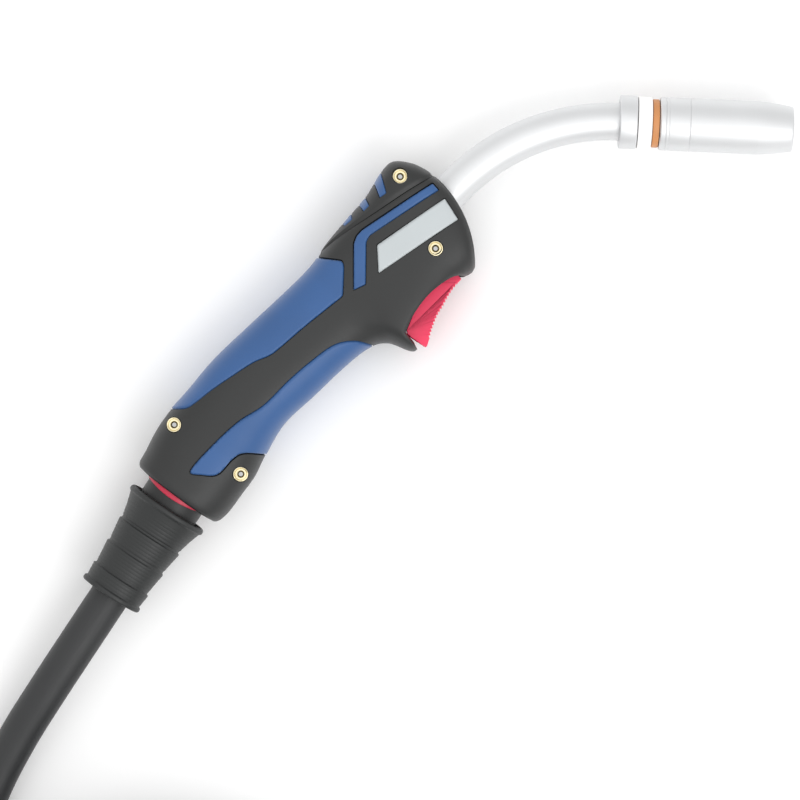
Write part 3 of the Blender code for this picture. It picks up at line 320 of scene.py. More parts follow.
def softened(profile, radius, steps=5, closed=True):
    """Each corner of a polyline as a short parabola that starts and ends radius away
    from it, or at 45% of the shorter side."""
    p = np.asarray(profile, float)
    before, after = np.roll(p, 1, 0) - p, np.roll(p, -1, 0) - p
    far_before = np.linalg.norm(before, axis=1, keepdims=True)
    far_after = np.linalg.norm(after, axis=1, keepdims=True)
    reach = np.minimum(radius, 0.45 * np.minimum(far_before, far_after))
    a = (p + before / np.maximum(far_before, 1e-9) * reach)[:, None]
    b = (p + after / np.maximum(far_after, 1e-9) * reach)[:, None]
    t = np.linspace(0, 1, steps)[None, :, None]
    made = (1 - t) ** 2 * a + 2 * t * (1 - t) * p[:, None] + t**2 * b
    if closed:
        return made.reshape(-1, p.shape[1])
    inner = made[1:-1].reshape(-1, p.shape[1])
    return np.concatenate([p[:1], inner, p[-1:]])


def counter_clockwise(outline):
    """The outline's points, in the order that has its inside on the left."""
    p = np.asarray(outline, float)
    after = np.roll(p, -1, 0)
    return p if (p[:, 0] * after[:, 1] - after[:, 0] * p[:, 1]).sum() > 0 else p[::-1]


def grown(outline, distance):
    """A closed counter-clockwise outline moved outwards by a distance."""
    p = np.asarray(outline, float)
    ahead = np.roll(p, -1, 0) - p
    ahead /= np.linalg.norm(ahead, axis=1)[:, None]
    normal = np.stack([ahead[:, 1], -ahead[:, 0]], 1)
    before = np.roll(normal, 1, 0)
    share = 1 + (normal * before).sum(1)
    return p + distance * (normal + before) / np.maximum(share, 0.35)[:, None]


def circle(centre, radius, count=48):
    """Points all round a circle."""
    a = np.linspace(0, 2 * math.pi, count, endpoint=False)
    return np.stack([centre[0] + radius * np.cos(a), centre[1] + radius * np.sin(a)], 1)


def circle_arc(centre, radius, first, last, count):
    """Points round a circle from a first to a last angle in degrees."""
    a = np.radians(np.linspace(first, last, count))
    return np.stack([centre[0] + radius * np.cos(a), centre[1] + radius * np.sin(a)], 1)


def nearest_on(points, outline):
    """The nearest point on a closed outline to each point, and how far it is."""
    a = outline[None]
    edge = np.roll(outline, -1, 0)[None] - a
    t = ((points[:, None] - a) * edge).sum(-1) / (edge**2).sum(-1)
    spot = a + np.clip(t, 0, 1)[..., None] * edge
    far = np.linalg.norm(points[:, None] - spot, axis=-1)
    best = far.argmin(1)
    rows = np.arange(len(points))
    return spot[rows, best], far[rows, best]


def inside(points, outline):
    """Whether each point is inside: a ray to its right crosses the outline oddly often."""
    x, y = points[..., 0, None], points[..., 1, None]
    x0, y0 = outline[:, 0], outline[:, 1]
    x1, y1 = np.roll(x0, -1), np.roll(y0, -1)
    level = np.where(y1 == y0, 1e-9, y1 - y0)
    hit = ((y0 > y) != (y1 > y)) & (x < (x1 - x0) * (y - y0) / level + x0)
    return hit.sum(-1) % 2 == 1


# --- Meshes ---------------------------------------------------------------------------


def shade(mesh, sharp):
    """Smooth faces, with sharp edges where the surface turns by more than that angle."""
    mesh.shade_smooth()
    mesh.set_sharp_from_angle(angle=math.radians(sharp))


def piece(name, points, quads, look, body, slot=None, stands_for=(), uv=None,
          sharp=SHARP, weld=True):
    """A mesh object from points in metres and quads. Its volume is made positive, so that
    its faces point outwards. uv is one (u, v) in metres for each point."""
    points = np.asarray(points, float)
    quads = np.asarray(quads, np.int32)
    used = np.zeros(len(points), bool)
    used[quads] = True
    points, quads = points[used], (np.cumsum(used) - 1)[quads].astype(np.int32)
    centre = points.mean(0)
    corner = points[quads] - centre
    volume = (
        np.einsum("ij,ij->i", corner[:, 0], np.cross(corner[:, 1], corner[:, 2])).sum()
        + np.einsum("ij,ij->i", corner[:, 0], np.cross(corner[:, 2], corner[:, 3])).sum()
    )
    if volume < 0:
        quads = quads[:, ::-1]
    mesh = bpy.data.meshes.new(name)
    mesh.vertices.add(len(points))
    mesh.vertices.foreach_set("co", points.astype(np.float32).ravel())
    mesh.loops.add(quads.size)
    mesh.polygons.add(len(quads))
    mesh.polygons.foreach_set("loop_start", np.arange(0, quads.size, 4, dtype=np.int32))
    mesh.loops.foreach_set("vertex_index", quads.ravel())
    mesh.update(calc_edges=True)
    if uv is not None:
        layer = mesh.uv_layers.new(name="UVMap")
        layer.data.foreach_set("uv", np.asarray(uv, np.float32)[used][quads.ravel()].ravel())
    if weld:
        work = bmesh.new()
        work.from_mesh(mesh)
        bmesh.ops.remove_doubles(work, verts=work.verts, dist=2e-6)
        bmesh.ops.dissolve_degenerate(work, dist=1e-6, edges=work.edges)
        work.to_mesh(mesh)
        work.free()
    shade(mesh, sharp)
    mesh.materials.append(look)
    obj = bpy.data.objects.new(name, mesh)
    bpy.context.scene.collection.objects.link(obj)
    if stands_for:
        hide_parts(*stands_for)
    if body:
        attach(obj, body)
    return obj


def grid_quads(rows, columns, wrap_rows=False, wrap_columns=False, start=0):
    """The quads of a grid of points, which may close on itself either way."""
    i = np.arange(rows if wrap_rows else rows - 1)
    j = np.arange(columns if wrap_columns else columns - 1)
    i, j = np.meshgrid(i, j, indexing="ij")
    a, b = i * columns, ((i + 1) % rows) * columns
    k = (j + 1) % columns
    return start + np.stack([a + j, a + k, b + k, b + j], -1).reshape(-1, 4)


def pairs(u, v):
    """One (u, v) for each point of a grid, in the order of its points."""
    return np.stack(np.broadcast_arrays(u, v), -1).reshape(-1, 2)


def round_axis(radius, height, turn, matrix):
    """Points in metres at those radii, heights and angles round local Z."""
    local = np.stack(np.broadcast_arrays(
        radius * np.cos(turn), radius * np.sin(turn), height), -1) * MM
    m = np.array(matrix)
    return local.reshape(-1, 3) @ m[:3, :3].T + m[:3, 3]


def turned(name, profile, matrix, look, body, slot=None, stands_for=(), soft=0.35,
           around=112, wave=None, lift=None, **more):
    """A turned piece: each (radius, height) of a closed profile carried round local Z.
    A profile that starts and ends on the axis isn't closed. wave(radius, height, angle)
    gives a radius that changes round the axis, and lift(height, angle) a height."""
    profile = np.asarray(profile, float)
    poles = abs(profile[0, 0]) < 1e-9 and abs(profile[-1, 0]) < 1e-9
    profile = softened(profile, soft, closed=not poles) if soft else profile
    angle = np.linspace(0, 2 * math.pi, around, endpoint=False)
    radius = np.repeat(profile[:, :1], around, 1)
    height = np.repeat(profile[:, 1:], around, 1)
    if wave:
        radius = wave(radius, height, angle[None])
    if lift:
        height = lift(height, angle[None])
    points = round_axis(radius, height, angle[None], matrix)
    uv = pairs(angle[None] * 12, distances(profile)[:, None]) * MM
    quads = grid_quads(len(profile), around, not poles, True)
    return piece(name, points, quads, look, body, slot, stands_for, uv, **more)


def frames(path):
    """Unit tangent, left and up at each point of a path, with up as near +Z as it goes."""
    ahead = np.gradient(path, axis=0)
    ahead /= np.linalg.norm(ahead, axis=1, keepdims=True)
    left = np.cross((0.0, 0.0, 1.0), ahead)
    left /= np.linalg.norm(left, axis=1, keepdims=True)
    return ahead, left, np.cross(ahead, left)


def tube(name, path, radius, look, body, slot=None, stands_for=(), around=40, bore=0.0,
         **more):
    """A round bar or pipe: a circle carried along a path in metres, square to it."""
    path = np.asarray(path, float)
    _, left, up = frames(path)
    angle = np.linspace(0, 2 * math.pi, around, endpoint=False)[None, :, None]
    round_ = np.cos(angle) * left[:, None] + np.sin(angle) * up[:, None]
    rings = path[:, None] + round_ * radius * MM
    inner = path[:, None] + round_ * max(bore, 1e-4) * MM
    lip = path[:, None] + round_ * (radius - 0.25) * MM
    edge = np.minimum(0.25 * MM, 0.4 * np.linalg.norm(path[1] - path[0]))
    ends = frames(path)[0]
    rings[0] += ends[0] * edge
    rings[-1] -= ends[-1] * edge
    body_rings = [lip[:1], rings, lip[-1:]]
    if bore:
        body_rings.append(inner[::-1])
    else:
        body_rings = [inner[:1], *body_rings, inner[-1:]]
    grid = np.concatenate(body_rings)
    uv = pairs(angle[0, :, 0][None] * radius * MM, distances(grid[:, 0])[:, None])
    quads = grid_quads(len(grid), around, bool(bore), True)
    return piece(name, grid.reshape(-1, 3), quads, look, body, slot, stands_for, uv, **more)


def stacked(name, outline, heights, insets, look, body, slot=None, stands_for=(), **more):
    """A flat outline in the drawing's plane, stood up as rings at each height, each ring
    moved inwards by its inset, and closed with a flat face top and bottom."""
    rings = np.stack([
        np.concatenate([grown(outline, -inset), np.full((len(outline), 1), z)], 1)
        for z, inset in zip(heights, insets)
    ])
    count = rings.shape[1]
    obj = piece(name, at(rings).reshape(-1, 3), grid_quads(len(rings), count, False, True),
                look, body, slot, stands_for, weld=False, **more)
    work = bmesh.new()
    work.from_mesh(obj.data)
    work.verts.ensure_lookup_table()
    flat = [Vector((x, y, 0.0)) for x, y in outline]
    for first in (0, len(work.verts) - count):
        for corners in tessellate_polygon([flat]):
            work.faces.new([work.verts[first + k] for k in corners])
    bmesh.ops.recalc_face_normals(work, faces=work.faces)
    work.to_mesh(obj.data)
    work.free()
    shade(obj.data, more.get("sharp", SHARP))
    for face in obj.data.polygons:
        face.use_smooth = abs(face.normal.z) < 0.999
    return obj


def facing(start, direction, height=0.0):
    """The matrix that puts local Z along a drawing direction and local Y near +Z."""
    z = Vector((direction[0], direction[1], 0.0)).normalized()
    y = Vector((0.0, 0.0, 1.0))
    turn = Matrix((y.cross(z), y, z)).transposed().to_4x4()
    return Matrix.Translation(at((*start, height))) @ turn


# --- Finishes -------------------------------------------------------------------------


def add(tree, kind, values=None, links=None, **settings):
    """A node of that kind with its settings, its input values and what is linked to it."""
    node = tree.nodes.new(kind)
    for key, value in settings.items():
        setattr(node, key, value)
    for key, value in (values or {}).items():
        node.inputs[key].default_value = value
    for key, socket in (links or {}).items():
        tree.links.new(socket, node.inputs[key])
    return node


def finish(name, base, roughness, metallic=0.0, grain=0.4, depth=0.02, mottle=25.0,
           tint=0.05, rub=0.06, stretch=None, sheen=0.0, coat=0.0, ior=1.5,
           coordinates="Object"):
    """A finish built on its real causes. grain is the size in mm of the finest texture
    and depth how deep it is in mm; mottle is the size in mm of the broad change in
    colour, tint how strong it is, and rub how far roughness wanders. stretch scales the
    grain along each coordinate, for drawn or turned metal."""
    if name in bpy.data.materials:
        return bpy.data.materials[name]
    look = bpy.data.materials.new(name)
    look.use_nodes = True
    tree = look.node_tree
    shader = tree.nodes["Principled BSDF"]
    shader.inputs["Metallic"].default_value = metallic
    shader.inputs["Sheen Weight"].default_value = sheen
    shader.inputs["Coat Weight"].default_value = coat
    if not metallic:
        shader.inputs["IOR"].default_value = ior
    place = add(tree, "ShaderNodeTexCoord").outputs[coordinates]
    fine_place = place
    if stretch:
        fine_place = add(tree, "ShaderNodeMapping", {"Scale": stretch},
                         {"Vector": place}).outputs["Vector"]
    fine = add(tree, "ShaderNodeTexNoise",
               {"Scale": 1000 / grain, "Detail": 3.0, "Roughness": 0.6},
               {"Vector": fine_place})
    broad = add(tree, "ShaderNodeTexNoise",
                {"Scale": 1000 / mottle, "Detail": 2.0, "Roughness": 0.5},
                {"Vector": place})
    base = np.array(base)
    darker, lighter = base * (1 - tint), np.minimum(base * (1 + tint), 1.0)
    darker[3] = lighter[3] = 1.0
    ramp = add(tree, "ShaderNodeValToRGB", None, {"Fac": broad.outputs["Fac"]})
    ramp.color_ramp.elements[0].position = 0.3
    ramp.color_ramp.elements[0].color = tuple(darker)
    ramp.color_ramp.elements[1].position = 0.7
    ramp.color_ramp.elements[1].color = tuple(lighter)
    tree.links.new(ramp.outputs["Color"], shader.inputs["Base Color"])
    spread = add(tree, "ShaderNodeMapRange",
                 {"From Min": 0.3, "From Max": 0.7, "To Min": roughness - rub,
                  "To Max": roughness + rub}, {"Value": fine.outputs["Fac"]})
    tree.links.new(spread.outputs["Result"], shader.inputs["Roughness"])
    bump = add(tree, "ShaderNodeBump", {"Strength": 1.0, "Distance": depth * MM},
               {"Height": fine.outputs["Fac"]})
    tree.links.new(bump.outputs["Normal"], shader.inputs["Normal"])
    return look


def eroded_abs():
    # Glass-filled ABS out of a spark-eroded mould: fine even grain, soft broad gloss
    return finish("spark_eroded_abs", paint("shell"), 0.46, grain=0.5, depth=0.035,
                  mottle=30, tint=0.04)


def soft_touch():
    # Thermoplastic elastomer moulded over the shell: silky, with a faint bloom
    return finish("soft_touch_elastomer", paint("grip"), 0.42, grain=0.45, depth=0.02,
                  mottle=22, tint=0.05, sheen=0.15)


def plate_print():
    # Printed polyester film: even, slightly glossy, with a faint orange peel
    return finish("polyester_film", paint("plate"), 0.3, grain=1.4, depth=0.012,
                  mottle=12, tint=0.015, rub=0.03)


def trigger_nylon():
    # Nylon out of a polished mould: bright, with a soft gloss
    return finish("trigger_nylon", paint("trigger"), 0.38, grain=0.6, depth=0.015,
                  mottle=10, tint=0.03)


def ring_nylon():
    # Nylon of the swivel ring: as the trigger, a little darker
    return finish("ring_nylon", paint("ring"), 0.36, grain=0.6, depth=0.012, mottle=8,
                  tint=0.03)


def satin_metal():
    # Nickel-plated metal, finely turned: pale, with soft streaks round the piece
    return finish("satin_nickel", paint("metal"), 0.48, 1.0, grain=0.5, depth=0.004,
                  mottle=30, tint=0.02, rub=0.04, stretch=(0.06, 1.6, 1.0),
                  coordinates="UV")


def turned_brass():
    # Free-cutting brass from the lathe: fine rings, slightly dulled
    return finish("turned_brass", paint("brass"), 0.3, 1.0, grain=0.35, depth=0.01,
                  mottle=5, tint=0.08, rub=0.08, stretch=(0.08, 1.5, 1.0),
                  coordinates="UV")


def drawn_copper():
    # Bare copper, drawn and turned, with a thin darker film in patches
    return finish("drawn_copper", paint("copper"), 0.34, 1.0, grain=0.4, depth=0.01,
                  mottle=6, tint=0.14, rub=0.08)


def zinc_steel():
    # Zinc-plated steel: grey, slightly mottled by the plating
    return finish("zinc_steel", (*linear("#B4B5B6"), 1.0), 0.32, 1.0, grain=0.4,
                  depth=0.008, mottle=2.5, tint=0.08, rub=0.08)


def insulating_white():
    # Glass-filled white moulding: matt and nearly even
    return finish("white_insulation", paint("insulator"), 0.42, grain=0.5, depth=0.015,
                  mottle=12, tint=0.012)


def seal_elastomer():
    # Orange elastomer: matt, with a faint bloom
    return finish("orange_elastomer", paint("seal"), 0.45, grain=0.5, depth=0.02,
                  mottle=8, tint=0.05)


def jacket_rubber():
    # Extruded rubber jacket: matt, with fine lines along it from the die
    return finish("extruded_rubber", paint("cable"), 0.5, grain=0.7, depth=0.04,
                  mottle=40, tint=0.06, rub=0.07, stretch=(1.6, 0.05, 1.0),
                  coordinates="UV")


def boot_rubber():
    # Compression-moulded rubber: matt, with a fine even grain
    return finish("moulded_rubber", paint("boot"), 0.48, grain=0.55, depth=0.03,
                  mottle=18, tint=0.06, rub=0.07)


def plain_black():
    # Glossy black polyamide of the switch
    return finish("black_polyamide", (*linear("#26282A"), 1.0), 0.4, grain=0.5,
                  depth=0.015, mottle=6, tint=0.05)


def lead_pvc():
    # PVC insulation of the control leads
    return finish("lead_pvc", (*linear("#B9602C"), 1.0), 0.42, grain=0.5, depth=0.01,
                  mottle=6, tint=0.05)


def cup_acetal():
    # Natural acetal of the ball cup: waxy off-white
    return finish("natural_acetal", (*linear("#DEDCD2"), 1.0), 0.36, grain=0.6,
                  depth=0.01, mottle=10, tint=0.02)


def woven_strap():
    """Woven polyester tape: threads 0.9 mm apart cross over and under. Two sine waves
    across the tape's own u and v, multiplied, give the crowns of the threads. The colour
    darkens from the crowns into the hollows between them: painted shade. Real threads are
    0.3 mm apart, and these are drawn coarser so that they show."""
    name = "woven_polyester"
    if name in bpy.data.materials:
        return bpy.data.materials[name]
    look = bpy.data.materials.new(name)
    look.use_nodes = True
    tree = look.node_tree
    shader = tree.nodes["Principled BSDF"]
    shader.inputs["Roughness"].default_value = 0.85
    shader.inputs["Sheen Weight"].default_value = 0.3
    place = add(tree, "ShaderNodeTexCoord").outputs["UV"]
    parts = add(tree, "ShaderNodeSeparateXYZ", None, {"Vector": place})
    waves = []
    for axis in "XY":
        turn = add(tree, "ShaderNodeMath", {1: 2 * math.pi / (0.9 * MM)},
                   {0: parts.outputs[axis]}, operation="MULTIPLY")
        waves.append(add(tree, "ShaderNodeMath", None, {0: turn.outputs[0]},
                         operation="SINE").outputs[0])
    crowns = add(tree, "ShaderNodeMath", None, {0: waves[0], 1: waves[1]},
                 operation="MULTIPLY")
    weave_height_and_shade = add(tree, "ShaderNodeMapRange", {"From Min": -1.0, "From Max": 1.0},
               {"Value": crowns.outputs[0]})
    # painted shade: the colour runs from dark in the weave's hollows to lighter on its
    # crowns, following the bump's height
    ramp = add(tree, "ShaderNodeValToRGB", None, {"Fac": weave_height_and_shade.outputs["Result"]})
    ramp.color_ramp.elements[0].color = (*linear("#15171A"), 1.0)
    ramp.color_ramp.elements[1].color = (*linear("#3A3E44"), 1.0)
    tree.links.new(ramp.outputs["Color"], shader.inputs["Base Color"])
    bump = add(tree, "ShaderNodeBump", {"Strength": 0.8, "Distance": 0.25 * MM},
               {"Height": weave_height_and_shade.outputs["Result"]})
    tree.links.new(bump.outputs["Normal"], shader.inputs["Normal"])
    return look


# --- The handle's skin ----------------------------------------------------------------


def section(place):
    """Middle, side, reach, ahead, height, power and bow of the handle at station places.
    Side is the unit vector from front to back, and ahead the one along the handle."""
    rows = smooth(STATIONS, place)
    back, front = rows[..., 0:2], rows[..., 2:4]
    half = (back - front) / 2
    reach = np.linalg.norm(half, axis=-1)
    side = half / reach[..., None]
    ahead = np.stack([side[..., 1], -side[..., 0]], -1)
    return (back + front) / 2, side, reach, ahead, rows[..., 4], rows[..., 5], rows[..., 6]


def skin(place, angle, out=0.0):
    """Points of the handle's skin, moved out by a distance. At each place the section is
    a superellipse |x|^p + |z|^p = 1 scaled by its reach and height. Angle 0 is the back
    edge and pi the front edge, and the middle bows forward by bow (1 - x^2)."""
    middle, side, reach, ahead, height, power, bow = section(place)
    c, s = np.cos(angle), np.sin(angle)
    size = (np.abs(c) ** power + np.abs(s) ** power) ** (1 / power)
    across, up = c / size, s / size
    plane = (
        middle + side * ((reach + out) * across)[..., None]
        + ahead * (bow * (1 - across**2))[..., None]
    )
    return np.concatenate([plane, ((height + out) * up)[..., None]], -1)


def locate(xy):
    """The station place and section angle at which the skin's right side lies over each
    drawing point: the place is where the point has nothing left along the handle."""
    xy = np.asarray(xy, float)
    trial = np.linspace(0, LAST, 1701)
    middle, side, reach, ahead, _, _, bow = section(trial)
    away = xy[:, None] - middle
    across = (away * side).sum(-1) / reach
    miss = (away * ahead).sum(-1) - bow * (1 - np.clip(across, -1, 1) ** 2)
    best = (np.abs(miss) + 50 * (np.abs(across) > 1.35)).argmin(1)
    rows = np.arange(len(xy))
    other = np.clip(best + np.where(miss[rows, best] > 0, 1, -1), 0, len(trial) - 1)
    m0, m1 = miss[rows, best], miss[rows, other]
    share = np.where(m0 * m1 < 0, m0 / np.where(m0 == m1, 1, m0 - m1), 0)
    place = trial[best] + share * (trial[other] - trial[best])
    c = across[rows, best] + share * (across[rows, other] - across[rows, best])
    power = section(place)[5]
    c = np.clip(c, -1, 1)
    return place, np.arctan2((1 - np.abs(c) ** power) ** (1 / power), c)


def skin_height(x, y):
    """How high the skin stands over the splitting plane at drawing points."""
    xy = np.stack(np.broadcast_arrays(np.atleast_1d(x), np.atleast_1d(y)), -1)
    return skin(*locate(xy))[:, 2]


def cap_seam():
    """Station places and section angles of the seam between shell and cap."""
    seam = curve_through(
        ((10.6, 99.0), (-0.9, 91.3), (-8.8, 85.6), (-17.7, 79.2), (-24.6, 74.3),
         (-31.5, 68.9), (-38.4, 62.4)), 80)
    place, angle = locate(seam)
    order = np.argsort(place)
    return place[order], angle[order]


def seam_angle(place):
    """The section angle of the seam between shell and cap, and 0 behind its tail."""
    places, angles = cap_seam()
    return np.interp(place, places, angles, left=0.0)


def opening_outline():
    """The trigger's opening: from the head, round the trigger, to the beak."""
    edge = curve_through(
        ((27.2, 55.2), (20.6, 54.2), (11.4, 47.0), (5.0, 38.2), (0.8, 29.4)), 60)
    beyond = ((6.9, 22.2), (9.0, 16.0), (44.0, 20.0), (44.0, 46.0))
    return counter_clockwise([*edge, *beyond])


def pad_upper_outline():
    """The grip pad along the back of the handle; it runs on past the back edge."""
    edge = curve_through(
        ((-31.0, 40.2), (-42.0, 30.6), (-51.0, 22.2), (-57.0, 17.0), (-64.4, 13.4),
         (-73.0, 7.4), (-82.2, 0.6), (-88.8, -5.0), (-93.4, -7.9), (-101.5, -8.6)), 65)
    corner = ((-27.6, 60.0), (-26.7, 57.4), (-26.5, 44.0))
    beyond = ((-112.0, -6.0), (-112.0, 12.0), (-60.0, 62.0), (-48.0, 64.0), (-37.4, 61.0))
    return counter_clockwise(softened([*corner, *edge, *beyond], 1.4, 4))


def pad_lower_outline():
    """The grip pad along the front of the handle; it runs on past the front edge."""
    edge = curve_through(
        ((-58.0, -26.9), (-66.7, -26.7), (-71.4, -29.4), (-77.5, -36.2), (-84.4, -36.8),
         (-90.2, -34.9), (-81.0, -23.2), (-70.0, -12.2), (-59.5, -4.8), (-48.9, 6.6),
         (-40.0, 15.0), (-30.0, 22.8), (-21.0, 25.0), (-13.0, 23.6)), 105)
    beyond = ((-10.0, 20.0), (-20.0, 2.0), (-48.0, -28.0))
    return counter_clockwise([*edge, *beyond])


def stripe_outline():
    """The bent stripe on the head, with square ends."""
    corners = ((10.0, 95.5), (-20.0, 73.9), (-22.5, 70.9), (-23.6, 67.4), (-22.6, 46.4),
               (-16.8, 49.4), (-17.5, 68.2), (-16.2, 70.9), (13.3, 92.1))
    return counter_clockwise(softened(corners, 0.7, 5))


def plate_outline():
    """The name plate: four corners, slightly rounded."""
    corners = ((15.7, 89.0), (22.3, 79.5), (-12.0, 54.2), (-13.3, 67.2))
    return counter_clockwise(softened(corners, 0.8, 5))


def chip_outlines():
    """Name and outline of each chip on the cap's right side."""
    chips = (
        ("cap_chip_front", ((-13.1, 101.2), (-9.5, 89.4), (-12.6, 87.0), (-16.8, 96.9))),
        ("cap_chip_middle", ((-20.8, 91.6), (-16.7, 83.8), (-19.3, 80.8), (-24.4, 87.6))),
        ("cap_chip_rear", ((-25.4, 83.6), (-23.9, 77.6), (-27.4, 74.3), (-31.4, 78.4))),
    )
    return [(name, counter_clockwise(softened(o, 0.5, 4))) for name, o in chips]


def place_rows(first, last, step):
    """Station places whose sections are about step apart along the handle's middle."""
    fine = np.linspace(first, last, 2000)
    middle = section(fine)[0]
    run = distances(middle)
    return np.interp(np.linspace(0, run[-1], int(run[-1] / step) + 1), run, fine)


def cell_middles(field):
    """The mean of each grid cell's four corners."""
    return (field[:-1, :-1] + field[1:, :-1] + field[:-1, 1:] + field[1:, 1:]) / 4


def snapped(place, angle, outline, chosen):
    """Moves the grid points between chosen and other cells onto the outline, so that the
    cut is as clean as the outline: a damped Newton step in place and angle, twice."""
    padded = np.pad(chosen, 1, mode="edge").astype(int)
    total = padded[:-1, :-1] + padded[1:, :-1] + padded[:-1, 1:] + padded[1:, 1:]
    rim = (total > 0) & (total < 4)
    p, a = place[rim], angle[rim]
    low, high = place.min(), place.max()
    for _ in range(2):
        here = skin(p, a)[:, :2]
        target, far = nearest_on(here, outline)
        step = 1e-3
        by_place = (skin(p + step, a)[:, :2] - skin(p - step, a)[:, :2]) / (2 * step)
        by_angle = (skin(p, a + step)[:, :2] - skin(p, a - step)[:, :2]) / (2 * step)
        jac = np.stack([by_place, by_angle], -1)
        square = jac @ np.transpose(jac, (0, 2, 1)) + np.eye(2) * 4.0
        move = np.linalg.solve(square, (target - here)[..., None])
        change = (np.transpose(jac, (0, 2, 1)) @ move)[..., 0]
        change = np.where((far < 1.2)[:, None], change, 0)
        p = np.clip(p + change[:, 0], low, high)
        a = a + np.clip(change[:, 1], -0.03, 0.03)
    place, angle = place.copy(), angle.copy()
    place[rim], angle[rim] = p, a
    return place, angle


def carved(name, layers, inner, labels, look, body, slot, stands_for, **more):
    """A closed skin piece. Each cell of the grid takes its outer face from the layer its
    label names, and has an inner face below it. A label of -1 is a hole through both.
    Upright walls join cells of different labels, and close the rim."""
    rows, columns = inner.shape[:2]
    size = rows * columns
    points = np.concatenate([at(layer).reshape(-1, 3) for layer in [*layers, inner]])
    bottom = len(layers)
    index = np.arange(size).reshape(rows, columns)
    quads = []
    for level in range(len(layers)):
        i, j = np.nonzero(labels == level)
        quad = np.stack([index[i, j], index[i + 1, j], index[i + 1, j + 1],
                         index[i, j + 1]], -1)
        quads += [quad + level * size, quad[:, ::-1] + bottom * size]
    ringed = np.pad(labels, 1, constant_values=-1)
    level_of = np.where(ringed < 0, bottom, ringed)
    for first, second, a, b in (
        (level_of[1:-1, :-1], level_of[1:-1, 1:], index[:-1], index[1:]),
        (level_of[1:, 1:-1], level_of[:-1, 1:-1], index[:, :-1], index[:, 1:]),
    ):
        i, j = np.nonzero(first != second)
        one, two, start, end = first[i, j], second[i, j], a[i, j], b[i, j]
        quads.append(np.stack([end + two * size, start + two * size,
                               start + one * size, end + one * size], -1))
    return piece(name, points, np.concatenate(quads), look, body, slot, stands_for,
                 **more)


def border_drop(points, outline, radius, depth):
    """0 well inside an outline, and a quarter round down to depth at its edge."""
    flat = points[..., :2].reshape(-1, 2)
    far = nearest_on(flat, outline)[1].reshape(points.shape[:-1])
    t = np.clip(far / radius, 0, 1)
    return depth * (1 - np.sqrt(1 - (1 - t) ** 2))


def mirrored(points, side):
    """The same points on the right side, or mirrored in the splitting plane."""
    return points * (1, 1, side)


def shell(word, side):
    """One handle shell: the skin between the parting line at the back, or the cap's
    seam, and the parting line in front, less the trigger's opening. Past the last
    station its rows run over the front face to the neck's hole."""
    step = sizes()["skin_step"]
    rows = place_rows(REAR_RIM, LAST, step)
    low = np.maximum(seam_angle(rows) + 0.012, PARTING)
    share = np.linspace(0, 1, int(HALF_ROUND / step))
    angle = low[:, None] + (math.pi - PARTING - low)[:, None] * share
    place = np.repeat(rows[:, None], len(share), 1)
    radius = (INSERT_R if side > 0 else SCREW_HEAD_R) + GAP
    cuts = [
        (1, pad_upper_outline()), (1, pad_lower_outline()), (1, stripe_outline()),
        (2, plate_outline()), (-1, opening_outline()),
        *((-1, circle(spot, radius)) for spot in SHELL_SCREWS),
    ]
    labels = np.zeros((len(rows) - 1, len(share) - 1), int)
    middle = cell_middles(skin(place, angle))[..., :2]
    for label, outline in cuts:
        chosen = inside(middle, outline)
        labels[chosen] = label
        place, angle = snapped(place, angle, outline, chosen)
    # the edges at the cap's seam and at the trigger's opening curl down
    here = skin(place, angle)
    to_seam = (angle - angle[:, :1]) * PER_RADIAN
    at_seam = ease((rows - 9.6) / 0.3)[:, None]
    flat = here[..., :2].reshape(-1, 2)
    to_open = nearest_on(flat, opening_outline())[1].reshape(place.shape)
    curl = 0.25 * at_seam * (1 - ease(to_seam / 0.6)) + 0.4 * (1 - ease(to_open / 1.3))
    nose = nose_lip(place, angle)
    wall = np.interp(rows, (0.3, 1.0, 1.4, 3.2, 4.0), (0.6, 1.2, 1.5, 1.6, 3.6))[:, None]
    layers = [skin(place, angle, out) for out in (
        nose - curl, np.full(place.shape, -PAD_DEPTH), np.full(place.shape, -PLATE_DEPTH))]
    inner = skin(place, angle, -np.broadcast_to(wall, place.shape))
    # behind the opening's edge the wall reaches in to just beside the trigger
    cheek = np.minimum(inner[..., 2], TRIGGER_HALF_WIDTH + 0.6)
    inner[..., 2] += (cheek - inner[..., 2]) * (1 - ease((to_open - 1.5) / 2.5))
    layers, inner, labels = with_front(layers, inner, labels)
    stands_for = (f"handle_shell_{word}",)
    return carved(f"shell_{word}", [mirrored(x, side) for x in layers],
                  mirrored(inner, side), labels, eroded_abs(), "handle", "shell_plastic",
                  stands_for, sharp=38.0)


def nose_lip(place, angle):
    """A soft ridge that flows along the shell to the beak, in mm of height."""
    p = skin(place, angle)[..., :2]
    ridge = curve_through(((-24.0, 31.5), (-12.0, 32.8), (-3.0, 30.2), (4.0, 25.6)), 40)
    far = np.linalg.norm(p[..., None, :] - ridge, axis=-1).min(-1)
    fade = ease((p[..., 0] + 24.0) / 18.0)
    return 0.7 * fade * np.exp(-((far / 3.2) ** 2))


